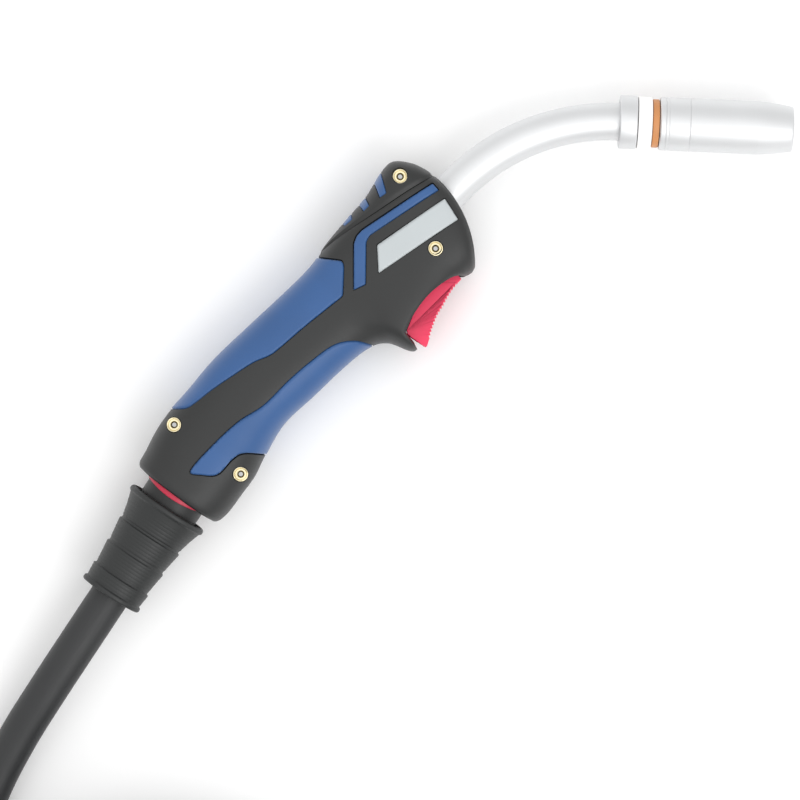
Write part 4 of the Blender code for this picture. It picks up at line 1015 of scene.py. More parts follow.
def with_front(layers, inner, labels):
    """Adds rows over the front face, from the skin's last ring to the neck's hole. The
    hole is the ellipse in which the leaning neck passes through the face."""
    side = section(np.array([LAST]))[1][0]
    ring = layers[0][-1]
    count = len(ring)
    turn = np.linspace(PARTING, math.pi - PARTING, count)
    hole = np.stack([
        NECK_HOLE[0] + side[0] * NECK_HOLE_HALF[0] * np.cos(turn),
        NECK_HOLE[1] + side[1] * NECK_HOLE_HALF[0] * np.cos(turn),
        NECK_HOLE_HALF[1] * np.sin(turn),
    ], 1)
    inward = np.array((*toward(27.7), 0.0))
    lean = np.array((*toward(NECK_ANGLE), 0.0))
    share = np.linspace(0, 1, 26)[1:, None, None]
    bulge = -inward * 0.9 * np.sin(math.pi * np.minimum(share * 1.6, 1)) ** 0.8
    face = ring + (hole - ring) * share + bulge * (share < 0.625)
    under_ring, under_hole = ring + inward * 3.0, hole + lean * 3.3
    under = under_ring + (under_hole - under_ring) * share
    under[:, :, 2] = np.minimum(under[:, :, 2], np.maximum(face[:, :, 2] - 1.2, 0.0)
                                + (share[:, :, 0] > 0.9) * 1.2)
    layers = [np.concatenate([layer, face]) for layer in layers]
    inner = np.concatenate([inner, under])
    labels = np.concatenate([labels, np.zeros((len(share), labels.shape[1]), int)])
    return layers, inner, labels


def pad(name, outline, side, stands_for, proud, depth, look, slot, first, last,
        across=(0.0, math.pi), step=0.5):
    """A piece let into the skin: the cells inside an outline, snapped to it, with a
    rounded border on top and a flat underside."""
    outline = grown(outline, -GAP * 1.1)
    rows = place_rows(first, last, step)
    count = int((across[1] - across[0]) / math.pi * HALF_ROUND / step)
    share = np.linspace(0, 1, count)
    low_angle = max(across[0], PARTING)
    high_angle = min(across[1], math.pi - PARTING)
    angle = np.repeat((low_angle + (high_angle - low_angle) * share)[None], len(rows), 0)
    place = np.repeat(rows[:, None], count, 1)
    chosen = inside(cell_middles(skin(place, angle))[..., :2], outline)
    place, angle = snapped(place, angle, outline, chosen)
    drop = border_drop(skin(place, angle), outline, 0.75, 0.55 + proud)
    top = skin(place, angle, proud - drop)
    under = skin(place, angle, np.full(place.shape, -(depth - GAP)))
    labels = np.where(chosen, 0, -1)
    return carved(name, [mirrored(top, side)], mirrored(under, side), labels, look,
                  "handle", slot, stands_for, sharp=50.0)


class MeshOperator:
    """What every operator of the torch shares."""

    bl_options = {"REGISTER", "UNDO"}

    def execute(self, context):
        self.build(sizes())
        return {"FINISHED"}


class TORCH_OT_stage(MeshOperator, bpy.types.Operator):
    """Camera straight over the torch, pale bench and soft studio light"""

    bl_idname = "torch.stage"
    bl_label = "Stage"

    def build(self, size):
        scene = bpy.context.scene
        for obj in [o for o in scene.objects if o.name in ("Cube", "Light", "Camera")]:
            bpy.data.objects.remove(obj)
        scene.view_settings.view_transform = "Standard"
        data = bpy.data.cameras.new("camera")
        data.sensor_width = 36.0
        data.lens = data.sensor_width * VIEW_DISTANCE / VIEW_WIDTH
        data.clip_start, data.clip_end = 0.05, 20.0
        camera = bpy.data.objects.new("camera", data)
        camera.location = at((0.0, 0.0, VIEW_DISTANCE))
        camera.rotation_euler = (0.0, 0.0, math.radians(VIEW_TURN))
        scene.collection.objects.link(camera)
        scene.camera = camera

        mesh = bpy.data.meshes.new("bench")
        half = 4.0
        corners = [(-half, -half, 0), (half, -half, 0), (half, half, 0), (-half, half, 0)]
        mesh.from_pydata(corners, [], [(0, 1, 2, 3)])
        mesh.materials.append(
            finish("painted_bench", paint("bench"), 0.9, grain=1.0, depth=0.01,
                   mottle=200, tint=0.003, rub=0.02))
        bench = bpy.data.objects.new("bench", mesh)
        scene.collection.objects.link(bench)

        world = scene.world or bpy.data.worlds.new("studio")
        scene.world = world
        world.use_nodes = True
        shade = world.node_tree.nodes["Background"]
        shade.inputs["Color"].default_value = (1.0, 1.0, 1.0, 1.0)
        shade.inputs["Strength"].default_value = 0.95
        # name, place and width in metres, and watts; each lamp looks at the origin
        for name, spot, width, power in (
            ("key", (0.5, -0.6, 1.1), 0.8, 4.8),
            ("fill", (-0.8, 0.6, 1.2), 1.2, 1.0),
            ("top", (0.0, 0.1, 1.6), 1.4, 3.0),
        ):
            lamp = bpy.data.lights.new(name, "AREA")
            lamp.size = width
            lamp.energy = power
            obj = bpy.data.objects.new(name, lamp)
            obj.location = spot
            obj.rotation_euler = (-Vector(spot)).to_track_quat("-Z", "Y").to_euler()
            scene.collection.objects.link(obj)


# --- Cable ----------------------------------------------------------------------------


def coil_path():
    """Drawing x, y and height over the bench round the coil, and down to the plug. The
    turns go low outer, low inner, upper inner, upper outer, then on top. Each change of
    radius or height eases over 45 degrees, where the place it enters is still free."""
    turn = np.radians(np.arange(180.0, 1755.1, 2.5))
    degrees = np.degrees(turn)
    wide = COIL_OUTER_TURN - COIL_INNER_TURN
    radius = (COIL_OUTER_TURN - wide * ease((degrees - 483) / 50)
              + wide * ease((degrees - 1095) / 50))
    layers = COIL_LAYERS
    height = (layers[0] + (layers[1] - layers[0]) * ease((degrees - 782) / 48)
              + (layers[2] - layers[1]) * ease((degrees - 1408) / 50))
    coil = np.stack([COIL_CENTRE[0] + radius * np.cos(turn),
                     COIL_CENTRE[1] + radius * np.sin(turn), height], 1)
    run = np.linspace(2.5, PLUG_START - 0.1, 44)
    away = np.array((math.cos(math.radians(45)), math.sin(math.radians(45))))
    low = PLUG_NUT_R + GAP
    fall = ease((run - PLUG_FALL) / (PLUG_START - 6.3 - PLUG_FALL))
    lead = np.concatenate([
        coil[-1, :2] + run[:, None] * away,
        (coil[-1, 2] + (low - coil[-1, 2]) * fall)[:, None],
    ], 1)
    return coil, lead


def bench_points(points):
    """Drawing points with a height over the bench, in the row frame, in metres."""
    return at(np.asarray(points) - (0, 0, MID_HEIGHT))


class TORCH_OT_cable(MeshOperator, bpy.types.Operator):
    """The cable inside the boot, and its free length out to the plug"""

    bl_idname = "torch.cable"
    bl_label = "Cable"

    def build(self, size):
        line = toward(BOOT_ANGLE)
        runs = np.linspace(GAP - CABLE_TURN, BOOT_AT + BOOT_LENGTH - 0.4, 40)
        straight = [(*along(BALL_CENTRE, line, run), 0.0) for run in runs]
        inner = tube("cable_in_boot", at(straight), size["cable"] / 2, jacket_rubber(),
                     None, "cable_rubber", around=48)
        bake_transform(inner)

        front = curve_through(CABLE_ROUTE, 90)[:-1]
        coil, lead = coil_path()
        path = bench_points(resampled(np.concatenate([front, coil, lead]), 3.0))
        cord = tube("cable", path, size["cable"] / 2, jacket_rubber(), None,
                    "cable_rubber", ("cable_bend", "cable_front", "cable_coil",
                                     "cable_lead"), around=32)
        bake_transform(cord)


class TORCH_OT_ties(MeshOperator, bpy.types.Operator):
    """Two woven ties round the coil"""

    bl_idname = "torch.ties"
    bl_label = "Ties"

    def build(self, size):
        inner, outer, low, high = COIL_SIZE
        for number, degrees in enumerate(TIE_ANGLES, 1):
            half = TIE_WIDTH / 2
            near, far = inner - GAP - 0.5, outer + GAP
            loop = counter_clockwise(softened(
                ((near, low - GAP), (far, low - GAP), (far, high + GAP),
                 (near, high + GAP)), 5.0, 10))
            run = np.linalg.norm(np.roll(loop, -1, 0) - loop, axis=1)
            run = np.concatenate([[0], np.cumsum(run)[:-1]])
            # across the tape: under side, edge, upper side, edge
            across = softened(((-half, 0.0), (half, 0.0), (half, TIE_THICK),
                               (-half, TIE_THICK)), 0.35, 4)
            out = grown(loop, 1.0) - loop
            radial = loop[:, None] + out[:, None] * across[None, :, 1:]
            side = np.broadcast_to(across[None, :, 0], radial.shape[:2])
            turn = math.radians(degrees)
            x = COIL_CENTRE[0] + radial[..., 0] * math.cos(turn) - side * math.sin(turn)
            y = COIL_CENTRE[1] + radial[..., 0] * math.sin(turn) + side * math.cos(turn)
            points = bench_points(np.stack([x, y, radial[..., 1]], -1)).reshape(-1, 3)
            uv = pairs(across[None, :, 0], run[:, None]) * MM
            piece(f"coil_tie_{number}", points,
                  grid_quads(len(loop), len(across), True, True), woven_strap(), "handle",
                  "strap_fabric", ("coil_tie",) if number == 1 else (), uv, sharp=60.0)


# --- Handle ---------------------------------------------------------------------------


class TORCH_OT_shells(MeshOperator, bpy.types.Operator):
    """Right and left handle shells, with pockets for what is let into them"""

    bl_idname = "torch.shells"
    bl_label = "Handle shells"

    def build(self, size):
        shell("right", 1)
        shell("left", -1)


class TORCH_OT_grips(MeshOperator, bpy.types.Operator):
    """Grip pads, head stripes and blank name plates on both sides"""

    bl_idname = "torch.grips"
    bl_label = "Grip pads"

    def build(self, size):
        proud = size["pad_proud"]
        for word, side in (("right", 1), ("left", -1)):
            pad(f"pad_upper_{word}", pad_upper_outline(), side,
                (f"grip_pad_upper_{word}",), proud, PAD_DEPTH, soft_touch(),
                "grip_rubber", first=3.2, last=10.6, across=(0.0, 1.9))
            pad(f"pad_lower_{word}", pad_lower_outline(), side,
                (f"grip_pad_lower_{word}",), proud, PAD_DEPTH, soft_touch(),
                "grip_rubber", first=1.6, last=10.9, across=(1.0, math.pi))
            pad(f"stripe_{word}", stripe_outline(), side,
                (f"head_stripe_{word}",), 0.0, PAD_DEPTH, soft_touch(),
                "grip_rubber", first=8.6, last=LAST, across=(0.0, 1.9), step=0.36)
            pad(f"plate_{word}", plate_outline(), side,
                (f"name_plate_{word}",), -0.05, PLATE_DEPTH, plate_print(),
                "plate_white", first=10.2, last=LAST, across=(0.5, 2.4), step=0.42)


class TORCH_OT_cap(MeshOperator, bpy.types.Operator):
    """Cap over the back of the head, with its three chips"""

    bl_idname = "torch.cap"
    bl_label = "Top cap"

    def build(self, size):
        step = size["skin_step"] * 0.8
        places = cap_seam()[0]
        rows = place_rows(places[0] + 0.02, LAST, step)
        reach = np.maximum(seam_angle(rows), 0.05)
        share = np.linspace(-1, 1, int(70 / step))
        signed = reach[:, None] * share
        place = np.repeat(rows[:, None], len(share), 1)
        outlines = chip_outlines()
        labels = np.zeros((len(rows) - 1, len(share) - 1), int)
        xy = cell_middles(skin(place, np.abs(signed)))[..., :2]
        on_right = cell_middles(signed) > 0
        holes = ((INSERT_R + GAP, on_right), (SCREW_HEAD_R + GAP, ~on_right))
        cuts = [(1, o, True) for _, o in outlines]
        cuts += [(-1, circle(CAP_SCREW, radius), half) for radius, half in holes]
        for label, outline, half in cuts:
            chosen = inside(xy, outline) & half
            labels[chosen] = label
            place, angle = snapped(place, np.abs(signed), outline, chosen)
            signed = np.sign(signed) * angle
        turn = np.sign(signed)

        def cap_skin(out):
            made = skin(place, np.abs(signed), out)
            made[..., 2] *= turn
            return made

        edge = PER_RADIAN * (reach[:, None] - np.abs(signed))
        tail = np.linalg.norm(section(place)[0] - section(place[:1])[0], axis=-1)
        curl = (CAP_PROUD + 0.35) * (1 - ease(edge / 0.8))
        curl = np.maximum(curl, (CAP_PROUD + 0.2) * (1 - ease(tail / 1.2)))
        top = cap_skin(CAP_PROUD - curl)
        floor = cap_skin(np.full(place.shape, -(PAD_DEPTH - CAP_PROUD)))
        thick = np.interp(rows, (places[0], places[0] + 1.2), (1.2, 2.4))[:, None]
        inner = cap_skin(-np.broadcast_to(thick, place.shape))
        carved("cap", [top, floor], inner, labels, eroded_abs(), "handle",
               "shell_plastic", ("top_cap",), sharp=38.0)
        for name, outline in outlines:
            self.chip(name, outline)

    def chip(self, name, outline):
        """One chip: the cap's skin inside the outline, over the back to both sides."""
        outline = grown(outline, -GAP * 0.7)
        rows = place_rows(9.6, 14.6, 0.34)
        share = np.linspace(-1, 1, 210)
        signed = np.repeat((0.95 * share)[None], len(rows), 0)
        place = np.repeat(rows[:, None], len(share), 1)
        chosen = inside(cell_middles(skin(place, np.abs(signed)))[..., :2], outline)
        place, angle = snapped(place, np.abs(signed), outline, chosen)
        turn = np.sign(signed)
        drop = border_drop(skin(place, angle), outline, 0.6, 0.5)
        top, under = (skin(place, angle, out)
                      for out in (CAP_PROUD + 0.05 - drop, np.full(place.shape, -0.6)))
        top[..., 2] *= turn
        under[..., 2] *= turn
        carved(name.replace("cap_chip", "chip"), [top], under, np.where(chosen, 0, -1),
               soft_touch(), "handle", "grip_rubber", (name,), sharp=50.0)


class TORCH_OT_fasteners(MeshOperator, bpy.types.Operator):
    """Brass inserts on the right side, and the screws that come in from the left"""

    bl_idname = "torch.fasteners"
    bl_label = "Fasteners"

    def build(self, size):
        for number, (x, y) in enumerate((CAP_SCREW, *SHELL_SCREWS), 1):
            matrix = Matrix.Translation(at((x, y, 0.0)))
            skin_top = float(skin_height(x, y)[0])
            top = skin_top - INSERT_SUNK
            angle = np.linspace(0, 2 * math.pi, 64, endpoint=False)
            around = skin_height(x + 3.0 * np.cos(angle), y + 3.0 * np.sin(angle))
            rim = np.maximum(np.minimum(around, skin_top + 1.0) - 0.45, top + 0.15)
            # rings of (radius, height over the disc, share of the way up to the rim)
            table = np.array((
                (INSERT_R, -5.6, 0.0), (INSERT_R, -0.5, 0.0), (INSERT_R, 0.0, 0.97),
                (INSERT_R - 0.1, 0.0, 1.0), (2.82, 0.0, 1.0), (2.72, 0.0, 0.96),
                (2.72, 0.0, 0.0), (2.55, -0.18, 0.0), (2.35, 0.0, 0.0),
                (1.72, 0.0, 0.0), (1.5, -0.2, 0.0), (1.5, -5.6, 0.0)))
            radius = table[:, :1] * np.ones_like(angle)
            height = top + table[:, 1:2] + table[:, 2:3] * (rim - top)
            points = np.stack([x + radius * np.cos(angle), y + radius * np.sin(angle),
                               height], -1)
            uv = pairs(angle[None] * 3, np.arange(len(table))[:, None] * 0.6) * MM
            piece(f"insert_{number}", at(points).reshape(-1, 3),
                  grid_quads(len(table), len(angle), True, True), turned_brass(),
                  "handle", "brass", (f"screw_insert_{number}",),
                  uv, sharp=40.0)
            self.screw(number, matrix, top, -(skin_top - 4.5) - GAP)

    def screw(self, number, matrix, top, seat):
        """A round head with a hexagon socket: the socket's radius follows a hexagon."""
        head = 2.2

        def hexagon(radius, height, angle):
            corner = (angle + math.pi / 6) % (math.pi / 3) - math.pi / 6
            return np.where((radius > 1.3) & (radius < 1.5) & (height < seat - 0.4),
                            1.3 / np.cos(corner), radius)

        low = seat - head
        profile = ((0, top - 0.6), (SCREW_R - 0.3, top - 0.6), (SCREW_R, top - 0.9),
                   (SCREW_R, seat), (SCREW_HEAD_R, seat), (SCREW_HEAD_R, low + 0.3),
                   (SCREW_HEAD_R - 0.3, low), (1.4, low), (1.4, low + 1.5), (0, low + 1.5))
        turned(f"screw_{number}", profile, matrix, zinc_steel(), "handle", "steel",
               (f"handle_screw_{number}",), soft=0, around=96, wave=hexagon)


# --- Trigger --------------------------------------------------------------------------


def trigger_outline(size):
    """The trigger's side: a toothed finger face, a flat back, and a hook round the pin."""
    down = toward(TRIGGER_LEAN)
    face = resampled(curve_through(
        ((24.6, 54.2), (21.2, 50.0), (18.8, 45.9), (16.8, 41.8), (15.0, 38.5),
         (13.5, 34.7), (12.4, 30.9), (11.6, 27.6)), 120), 0.16)
    run = np.arange(len(face)) * 0.16
    ahead = np.gradient(face, axis=0)
    ahead /= np.linalg.norm(ahead, axis=1)[:, None]
    out = np.stack([-ahead[:, 1], ahead[:, 0]], 1)
    out *= np.sign(out @ np.array((0.93, -0.36)))[:, None]
    pitch = size["tooth_pitch"]
    saw = (run / pitch) % 1.0
    tooth = np.where(saw < 0.72, saw / 0.72, (1 - saw) / 0.28)
    fade = ease((run - 1.5) / 2.0)
    face = face + out * ((tooth - 0.75) * size["tooth_depth"] * fade)[:, None]
    tip = ((11.4, 26.2), (10.9, 24.3), (10.3, 23.7), (9.4, 24.0), (3.6, 27.6), (2.0, 28.9))
    heel = along(PIVOT, down, 31.0, 0.4 - TRIGGER_BACK)
    shoulder = along(PIVOT, down, 8.0, -TRIGGER_BACK)
    lug = circle_arc(PIVOT, 3.4, 200, 0, 24)
    hole = circle_arc(PIVOT, 1.8, 216, 558, 40)
    return counter_clockwise(np.concatenate([face, tip, [heel, shoulder], hole, lug]))


class TORCH_OT_trigger(MeshOperator, bpy.types.Operator):
    """Toothed trigger with rounded sides"""

    bl_idname = "torch.trigger"
    bl_label = "Trigger"

    def build(self, size):
        half = TRIGGER_HALF_WIDTH
        turn = np.linspace(0, math.pi / 2, 6)
        inset, rise = 1 - np.sin(turn), 1 - np.cos(turn)
        heights = np.concatenate([-half + rise, half - rise[::-1]])
        insets = np.concatenate([inset, inset[::-1]]) * 0.3
        stacked("trigger_lever", trigger_outline(size), heights, insets,
                trigger_nylon(), "trigger", "trigger_plastic", ("trigger",), sharp=28.0)


# --- Neck and nozzle ------------------------------------------------------------------


def bend_centre():
    """The drawing point round which the neck bends."""
    angle = math.radians(NECK_ANGLE)
    return (NECK_ROOT[0] + NECK_BEND * math.sin(angle),
            NECK_ROOT[1] - NECK_BEND * math.cos(angle))


def neck_path(behind, beyond, step=1.5):
    """The neck's centre in metres: straight, an arc of the bend radius, and straight."""
    cx, cy = bend_centre()
    turn = np.radians(np.linspace(90 + NECK_ANGLE, 90, 90))
    arc = np.stack([cx + NECK_BEND * np.cos(turn), cy + NECK_BEND * np.sin(turn)], 1)
    points = np.concatenate([
        [along(NECK_ROOT, toward(NECK_ANGLE), behind)], arc,
        [(cx + beyond, cy + NECK_BEND)]])
    path = resampled(points, step)
    return at(np.concatenate([path, np.zeros((len(path), 1))], 1))


def nozzle_matrix():
    """Where the neck's bend ends, with local Z along the nozzle."""
    cx, cy = bend_centre()
    return facing((cx, cy + NECK_BEND), (1.0, 0.0))


class TORCH_OT_neck(MeshOperator, bpy.types.Operator):
    """Bent neck: outer tube, insulation, core and liner"""

    bl_idname = "torch.neck"
    bl_label = "Neck"

    def build(self, size):
        path = neck_path(NECK_IN_HANDLE, COLLAR_LENGTH)
        tube("neck_outer_tube", path, size["neck"] / 2, satin_metal(), "handle",
             "satin_aluminium", ("neck_tube",), around=96, bore=7.2)
        tube("neck_sleeve", path, 6.9, insulating_white(), "handle", "insulator_white",
             ("neck_insulation",), around=64, bore=5.2)
        tube("neck_conductor", path, 4.9, drawn_copper(), "handle", "copper",
             ("neck_core",), around=48, bore=3.2)


class TORCH_OT_nozzle(MeshOperator, bpy.types.Operator):
    """Collar, insulator, seal, gas nozzle, diffuser and contact tip"""

    bl_idname = "torch.nozzle"
    bl_label = "Nozzle"

    def build(self, size):
        axis = nozzle_matrix()
        end = COLLAR_LENGTH
        turned("collar", ((11.75, end), (11.75, GAP), (8.55, GAP), (8.55, end)), axis,
               satin_metal(), "handle", "satin_aluminium", ("neck_collar",), soft=0.7)
        low = end + GAP
        ring = low + INSULATOR_LENGTH
        spigot = ring + SEAL_LENGTH + 8.0
        turned("insulator", ((8.0, spigot), (8.0, ring), (11.5, ring), (11.5, low),
                             (6.6, low), (6.6, spigot)), axis, insulating_white(),
               "handle", "insulator_white", ("insulator_ring",), soft=0.45)
        seal = ring + GAP + SEAL_LENGTH
        turned("seal", ((10.65, seal), (10.65, ring + GAP), (8.3, ring + GAP),
                        (8.3, seal)), axis, seal_elastomer(), "handle", "seal_orange",
               ("seal_ring",), soft=0.5)
        base = seal + GAP
        self.nozzle(size, axis, base)
        body = ((6.3, low + 33.0), (6.3, low + 29.5), (5.7, low + 29.2),
                (5.7, low + 20.2), (6.3, low + 19.9), (6.3, low), (2.5, low),
                (2.5, low + 33.0))
        turned("diffuser", body, axis, turned_brass(), "handle", "brass",
               ("gas_diffuser",), soft=0.3, around=80)
        tip = low + 33.0 + GAP
        turned("tip", ((2.3, tip + 31.0), (2.8, tip + 31.0), (4.0, tip + 27.0),
                       (4.0, tip), (0.6, tip), (0.6, tip + 30.4), (1.0, tip + 31.0)),
               axis, drawn_copper(), "handle", "copper", ("contact_tip",), soft=0.3,
               around=72)

    def nozzle(self, size, axis, low):
        """A turned tube: a rear rim, three thin lines and a taper to the mouth."""
        r, mouth = size["nozzle"] / 2, size["nozzle_tip"] / 2
        g = size["groove"]
        high = low + size["nozzle_length"]
        taper, wall = 15.5, 2.0
        t = np.linspace(0, 1, 14)
        cone = np.stack([r - (r - mouth) * (0.35 * t + 0.65 * t**1.7),
                         high - taper + (taper - 0.7) * t], 1)
        outside = [(r - 0.55, low), (r, low + 0.5), (r, low + 2.2)]
        for spot, deep in ((2.6, g * 1.6), (4.0, g), (13.2, g * 1.6)):
            outside += [(r, low + spot - 0.16), (r - deep, low + spot),
                        (r, low + spot + 0.16)]
        outside += [tuple(row) for row in cone]
        outside += [(mouth - 0.35, high), (mouth - 1.6, high), (mouth - wall, high - 0.5),
                    (r - wall, high - taper), (r - wall, low)]
        turned("nozzle", outside[::-1], axis, satin_metal(), "handle",
               "satin_aluminium", ("gas_nozzle",), soft=0.12, around=128, sharp=40.0)


# --- Ball joint and boot --------------------------------------------------------------


class TORCH_OT_ball(MeshOperator, bpy.types.Operator):
    """Ball with its sleeve, and the coloured swivel ring"""

    bl_idname = "torch.ball"
    bl_label = "Ball joint"

    def build(self, size):
        axis = facing(BALL_CENTRE, toward(BOOT_ANGLE))
        turn = np.linspace(math.acos(BALL_ZONE / BALL_R), math.acos(-BALL_ZONE / BALL_R), 16)
        ball = np.stack([BALL_R * np.sin(turn), BALL_R * np.cos(turn)], 1)
        end = BOOT_AT + 9.0
        sleeve = [(SLEEVE_R - 1.5, end), (SLEEVE_R, end - 3.0),
                  (SLEEVE_R, BALL_ZONE + 1.2), *ball,
                  (SLEEVE_BORE, -BALL_ZONE), (SLEEVE_BORE, end)]
        turned("ball_and_sleeve", sleeve, axis, eroded_abs(), "ball", "shell_plastic",
               ("ball_sleeve",), soft=0.2)
        low, high = RING_AT + GAP, REAR_FACE - 0.3

        def crescent(height, angle):
            rear = ease((height - low) / (high - low - 0.2))
            return height + rear * 2.1 * np.sin(angle) ** 2

        turned("ring", ((RING_R, high), (RING_R, low), (SLEEVE_R + 0.1, low),
                        (SLEEVE_R + 0.1, high)), axis, ring_nylon(), "ball",
               "ring_plastic", ("swivel_ring",), soft=0.3, lift=crescent)


class TORCH_OT_boot(MeshOperator, bpy.types.Operator):
    """Tapered kink boot with a beaded mouth, fine ribs and three grooves"""

    bl_idname = "torch.boot"
    bl_label = "Kink boot"

    def build(self, size):
        a = BOOT_AT
        pitch, depth = size["rib_pitch"], size["rib_depth"]
        bore = size["cable"] / 2 + GAP + 0.2
        # (distance behind the mouth, radius) of the plain outside
        plain = np.array((
            (4.6, 17.4), (8.6, 16.2), (13.4, 15.05), (13.9, 14.75), (14.7, 14.75),
            (15.3, 15.55), (20.0, 14.8), (24.6, 14.1), (25.1, 13.85), (25.9, 13.85),
            (26.5, 14.6), (31.0, 14.0), (36.0, 13.45), (36.5, 13.3), (37.3, 13.3),
            (37.9, 14.15), (43.2, 13.65)))
        run = np.arange(4.6, 43.2, 0.12)
        radius = np.interp(run, plain[:, 0], plain[:, 1])
        rib = np.abs(np.sin(math.pi * run / pitch)) ** 0.6 - 0.6
        radius = radius + rib * depth * ease((run - 4.6) / 3.0)
        lip = softened(((16.6, 0.9), (16.9, 0.0), (18.1, 0.0), (18.9, 0.9), (18.85, 2.3),
                        (17.9, 3.0), (17.55, 4.2)), 0.7, 6, closed=False)
        end = softened(((13.6, 43.4), (13.55, 43.9), (14.5, 44.6), (14.5, 46.0),
                        (14.0, 46.5), (bore + 1.2, 46.5), (bore, 45.6)), 0.4, 6,
                       closed=False)
        inside_ = ((bore, 13.0), (SLEEVE_R + GAP, 9.6), (SLEEVE_R + GAP, 3.4))
        profile = np.concatenate([lip, np.stack([radius, run], 1), end, inside_])
        profile[:, 1] += a
        turned("boot", profile, facing(BALL_CENTRE, toward(BOOT_ANGLE)), boot_rubber(),
               "boot", "boot_rubber", ("kink_boot",), soft=0, around=128, sharp=50.0)


# --- Machine plug ---------------------------------------------------------------------


def plug_matrix():
    """On the plug's axis where the cable leaves the coil; local Z runs to the nose."""
    leave = math.radians(-45)
    x = COIL_CENTRE[0] + COIL_OUTER_TURN * math.cos(leave)
    y = COIL_CENTRE[1] + COIL_OUTER_TURN * math.sin(leave)
    return facing((x, y), (math.cos(math.pi / 4), math.sin(math.pi / 4)),
                  PLUG_NUT_R + GAP - MID_HEIGHT)


class TORCH_OT_plug(MeshOperator, bpy.types.Operator):
    """Machine plug: ribbed sleeve, two shells, brass body, nut, nipple and pins"""

    bl_idname = "torch.plug"
    bl_label = "Machine plug"

    def build(self, size):
        axis = plug_matrix()
        a = PLUG_START
        b = a + PLUG_SLEEVE
        c = b + PLUG_SHELL
        d = c + PLUG_NUT
        bore = size["cable"] / 2 + GAP
        run = np.arange(a + 2.0, b - 6.0, 0.16)
        plain = np.interp(run, (a + 1.0, a + 14.0, b - 14.0, b), (11.4, 12.2, 13.0, 13.7))
        rib = np.abs(np.sin(math.pi * (run - a) / 4.2)) ** 0.5 - 0.85
        outer = np.stack([plain + rib * 0.7 * ease((run - a - 2) / 3), run], 1)
        sleeve = np.concatenate([
            [(10.6, a), (11.3, a + 0.8)], outer,
            [(13.6, b - 4.0), (PLUG_SHELL_R - 7.1, b - 0.03), (bore - 2.7, b - 0.03),
             (bore - 2.7, a)]])
        turned("plug_piece_sleeve", sleeve[::-1], axis, boot_rubber(), "handle",
               "boot_rubber", ("plug_sleeve",), soft=0, sharp=50.0)
        self.shells(axis, b, c, bore)
        nose = c + PLUG_NUT + PLUG_NOSE
        r = PLUG_BODY_R
        body = ((r - 1.0, nose - 5.0), (r, nose - 6.0), (r, c + 1.6), (r + 3.0, c + 1.6),
                (r + 3.0, c - 0.4), (r, c - 0.4), (r, c - 22.0), (3.6, c - 22.0),
                (3.6, nose - 5.6), (4.2, nose - 5.0))
        turned("plug_piece_body", body, axis, turned_brass(), "handle", "brass",
               ("plug_body",), soft=0.3)
        turned("plug_piece_nipple", ((2.6, nose + 6.0), (3.3, nose + 5.0), (3.3, c - 30.0),
                                     (1.5, c - 30.0), (1.5, nose + 6.0)), axis,
               zinc_steel(), "handle", "steel", ("wire_nipple",), soft=0.25, around=64)
        for number, side in ((1, -8.0), (2, 8.0)):
            spot = axis @ Matrix.Translation((side * MM, 0, 0))
            pin = ((0, nose + 1.0), (0.9, nose + 1.0), (1.4, nose + 0.2),
                   (1.4, nose - 14.7), (0, nose - 14.7))
            turned(f"plug_piece_pin_{number}", pin, spot, turned_brass(), "handle",
                   "brass", (f"control_pin_{number}",), soft=0.2, around=40)
        self.nut(axis, c, d)

    def shells(self, axis, b, c, bore):
        """Each shell is half a turn of the profile, from one parting face to the other,
        with three shallow finger grooves run round it."""
        r, wall = PLUG_SHELL_R, 2.4
        run = np.linspace(b + 9.0, c - 2.0, 150)
        groove = np.zeros_like(run)
        for middle in (b + 20.0, b + 29.0, b + 38.0):
            groove += np.exp(-(((run - middle) / 1.7) ** 2))
        outside = np.stack([r - 0.8 * groove, run], 1)
        profile = np.concatenate([
            softened(((bore, b), (r - 7.0, b), (r - 3.0, b + 2.0), (r, b + 8.6)), 1.2, 6,
                     closed=False),
            outside,
            [(r - 0.2, c - 1.3), (r - 0.6, c - 1.0), (PLUG_BODY_R + GAP, c - 1.0),
             (PLUG_BODY_R + GAP, c - 6.0), (r - wall, c - 6.0), (r - wall, b + 9.0),
             (r - wall - 5.0, b + 4.0)]])
        for word, side in (("upper", 1), ("lower", -1)):
            gap = 0.15 / np.maximum(profile[:, :1], 1.0)
            share = np.linspace(0, 1, 72)[None]
            turn = (gap + (math.pi - 2 * gap) * share) * side
            points = round_axis(profile[:, :1], profile[:, 1:], turn, axis)
            obj = piece(f"plug_piece_shell_{word}", points,
                        grid_quads(len(profile), 72, True, False), eroded_abs(),
                        "handle", "shell_plastic", (f"plug_shell_{word}",), sharp=38.0)
            close_ends(obj)

    def nut(self, axis, c, d):
        """A moulded nut: its rim is pushed in and out by a cosine, 18 times round."""
        r = PLUG_NUT_R

        def lobes(radius, height, angle):
            near_rim = ease((radius - (r - 2.4)) / 1.2)
            return radius - near_rim * 0.75 * (0.5 - 0.5 * np.cos(18 * angle)) ** 0.45

        profile = ((r - 1.5, d), (r - 0.3, d - 1.2), (r, d - 2.4), (r, c + 5.0),
                   (r, c + 3.2), (r - 1.2, c + 2.0), (PLUG_BODY_R + GAP, c + 2.0),
                   (PLUG_BODY_R + GAP, c + 6.0), (PLUG_BODY_R + 5.0, c + 6.0),
                   (PLUG_BODY_R + 5.0, d))
        turned("plug_piece_nut", profile, axis, eroded_abs(), "nut", "shell_plastic",
               ("coupling_nut",), soft=0.4, around=216, wave=lobes, sharp=45.0)


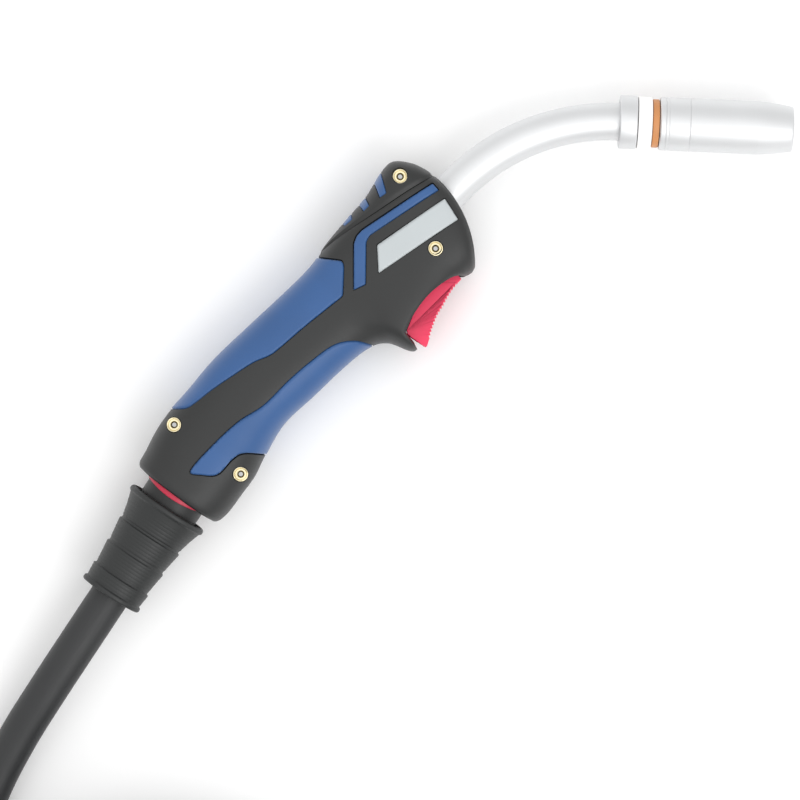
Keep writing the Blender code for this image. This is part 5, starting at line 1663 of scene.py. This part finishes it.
def close_ends(obj):
    """Fills the flat faces at the ends of a part turn."""
    work = bmesh.new()
    work.from_mesh(obj.data)
    bmesh.ops.holes_fill(work, edges=[e for e in work.edges if e.is_boundary])
    bmesh.ops.triangulate(work, faces=[f for f in work.faces if len(f.verts) > 4])
    bmesh.ops.recalc_face_normals(work, faces=work.faces)
    work.to_mesh(obj.data)
    work.free()
    shade(obj.data, 38.0)


# --- Inner pieces ---------------------------------------------------------------------


class TORCH_OT_inside(MeshOperator, bpy.types.Operator):
    """Finishes for the pieces inside that keep their plain shape"""

    bl_idname = "torch.inside"
    bl_label = "Inner pieces"

    def build(self, size):
        looks = {
            "ball_cup": cup_acetal, "cable_ferrule": drawn_copper,
            "cable_in_handle": jacket_rubber, "control_lead_1": lead_pvc,
            "control_lead_2": lead_pvc, "nozzle_spring": zinc_steel,
            "switch_body": plain_black, "switch_button": trigger_nylon,
            "torch_block": drawn_copper, "trigger_pin": zinc_steel,
            "trigger_spring": zinc_steel, "wire_liner": zinc_steel,
        }
        for name, look in looks.items():
            frame["nodes"][name].data.materials.clear()
            frame["nodes"][name].data.materials.append(look())


# --- Panel ----------------------------------------------------------------------------


OPERATORS = (
    TORCH_OT_stage, TORCH_OT_shells, TORCH_OT_grips, TORCH_OT_cap, TORCH_OT_fasteners,
    TORCH_OT_trigger, TORCH_OT_neck, TORCH_OT_nozzle, TORCH_OT_ball, TORCH_OT_boot,
    TORCH_OT_plug, TORCH_OT_cable, TORCH_OT_ties, TORCH_OT_inside,
)


class TORCH_PT_panel(bpy.types.Panel):
    """Sizes, colours and the steps that build the torch"""

    bl_label = "MIG welding torch"
    bl_idname = "TORCH_PT_panel"
    bl_space_type = "VIEW_3D"
    bl_region_type = "UI"
    bl_category = "Torch"

    def draw(self, context):
        for group, kind in ((context.scene.torch_sizes, TorchSizes),
                            (context.scene.torch_colours, TorchColours)):
            column = self.layout.column(align=True)
            for name in kind.__annotations__:
                column.prop(group, name)
        column = self.layout.column(align=True)
        for operator in OPERATORS:
            column.operator(operator.bl_idname)


CLASSES = (TorchSizes, TorchColours, *OPERATORS, TORCH_PT_panel)


def register():
    for kind in CLASSES:
        bpy.utils.register_class(kind)
    bpy.types.Scene.torch_sizes = bpy.props.PointerProperty(type=TorchSizes)
    bpy.types.Scene.torch_colours = bpy.props.PointerProperty(type=TorchColours)


def unregister():
    del bpy.types.Scene.torch_sizes
    del bpy.types.Scene.torch_colours
    for kind in reversed(CLASSES):
        bpy.utils.unregister_class(kind)


def main():
    register()
    for operator in OPERATORS:
        group, name = operator.bl_idname.split(".")
        getattr(getattr(bpy.ops, group), name)()


if __name__ == "__main__":
    main()
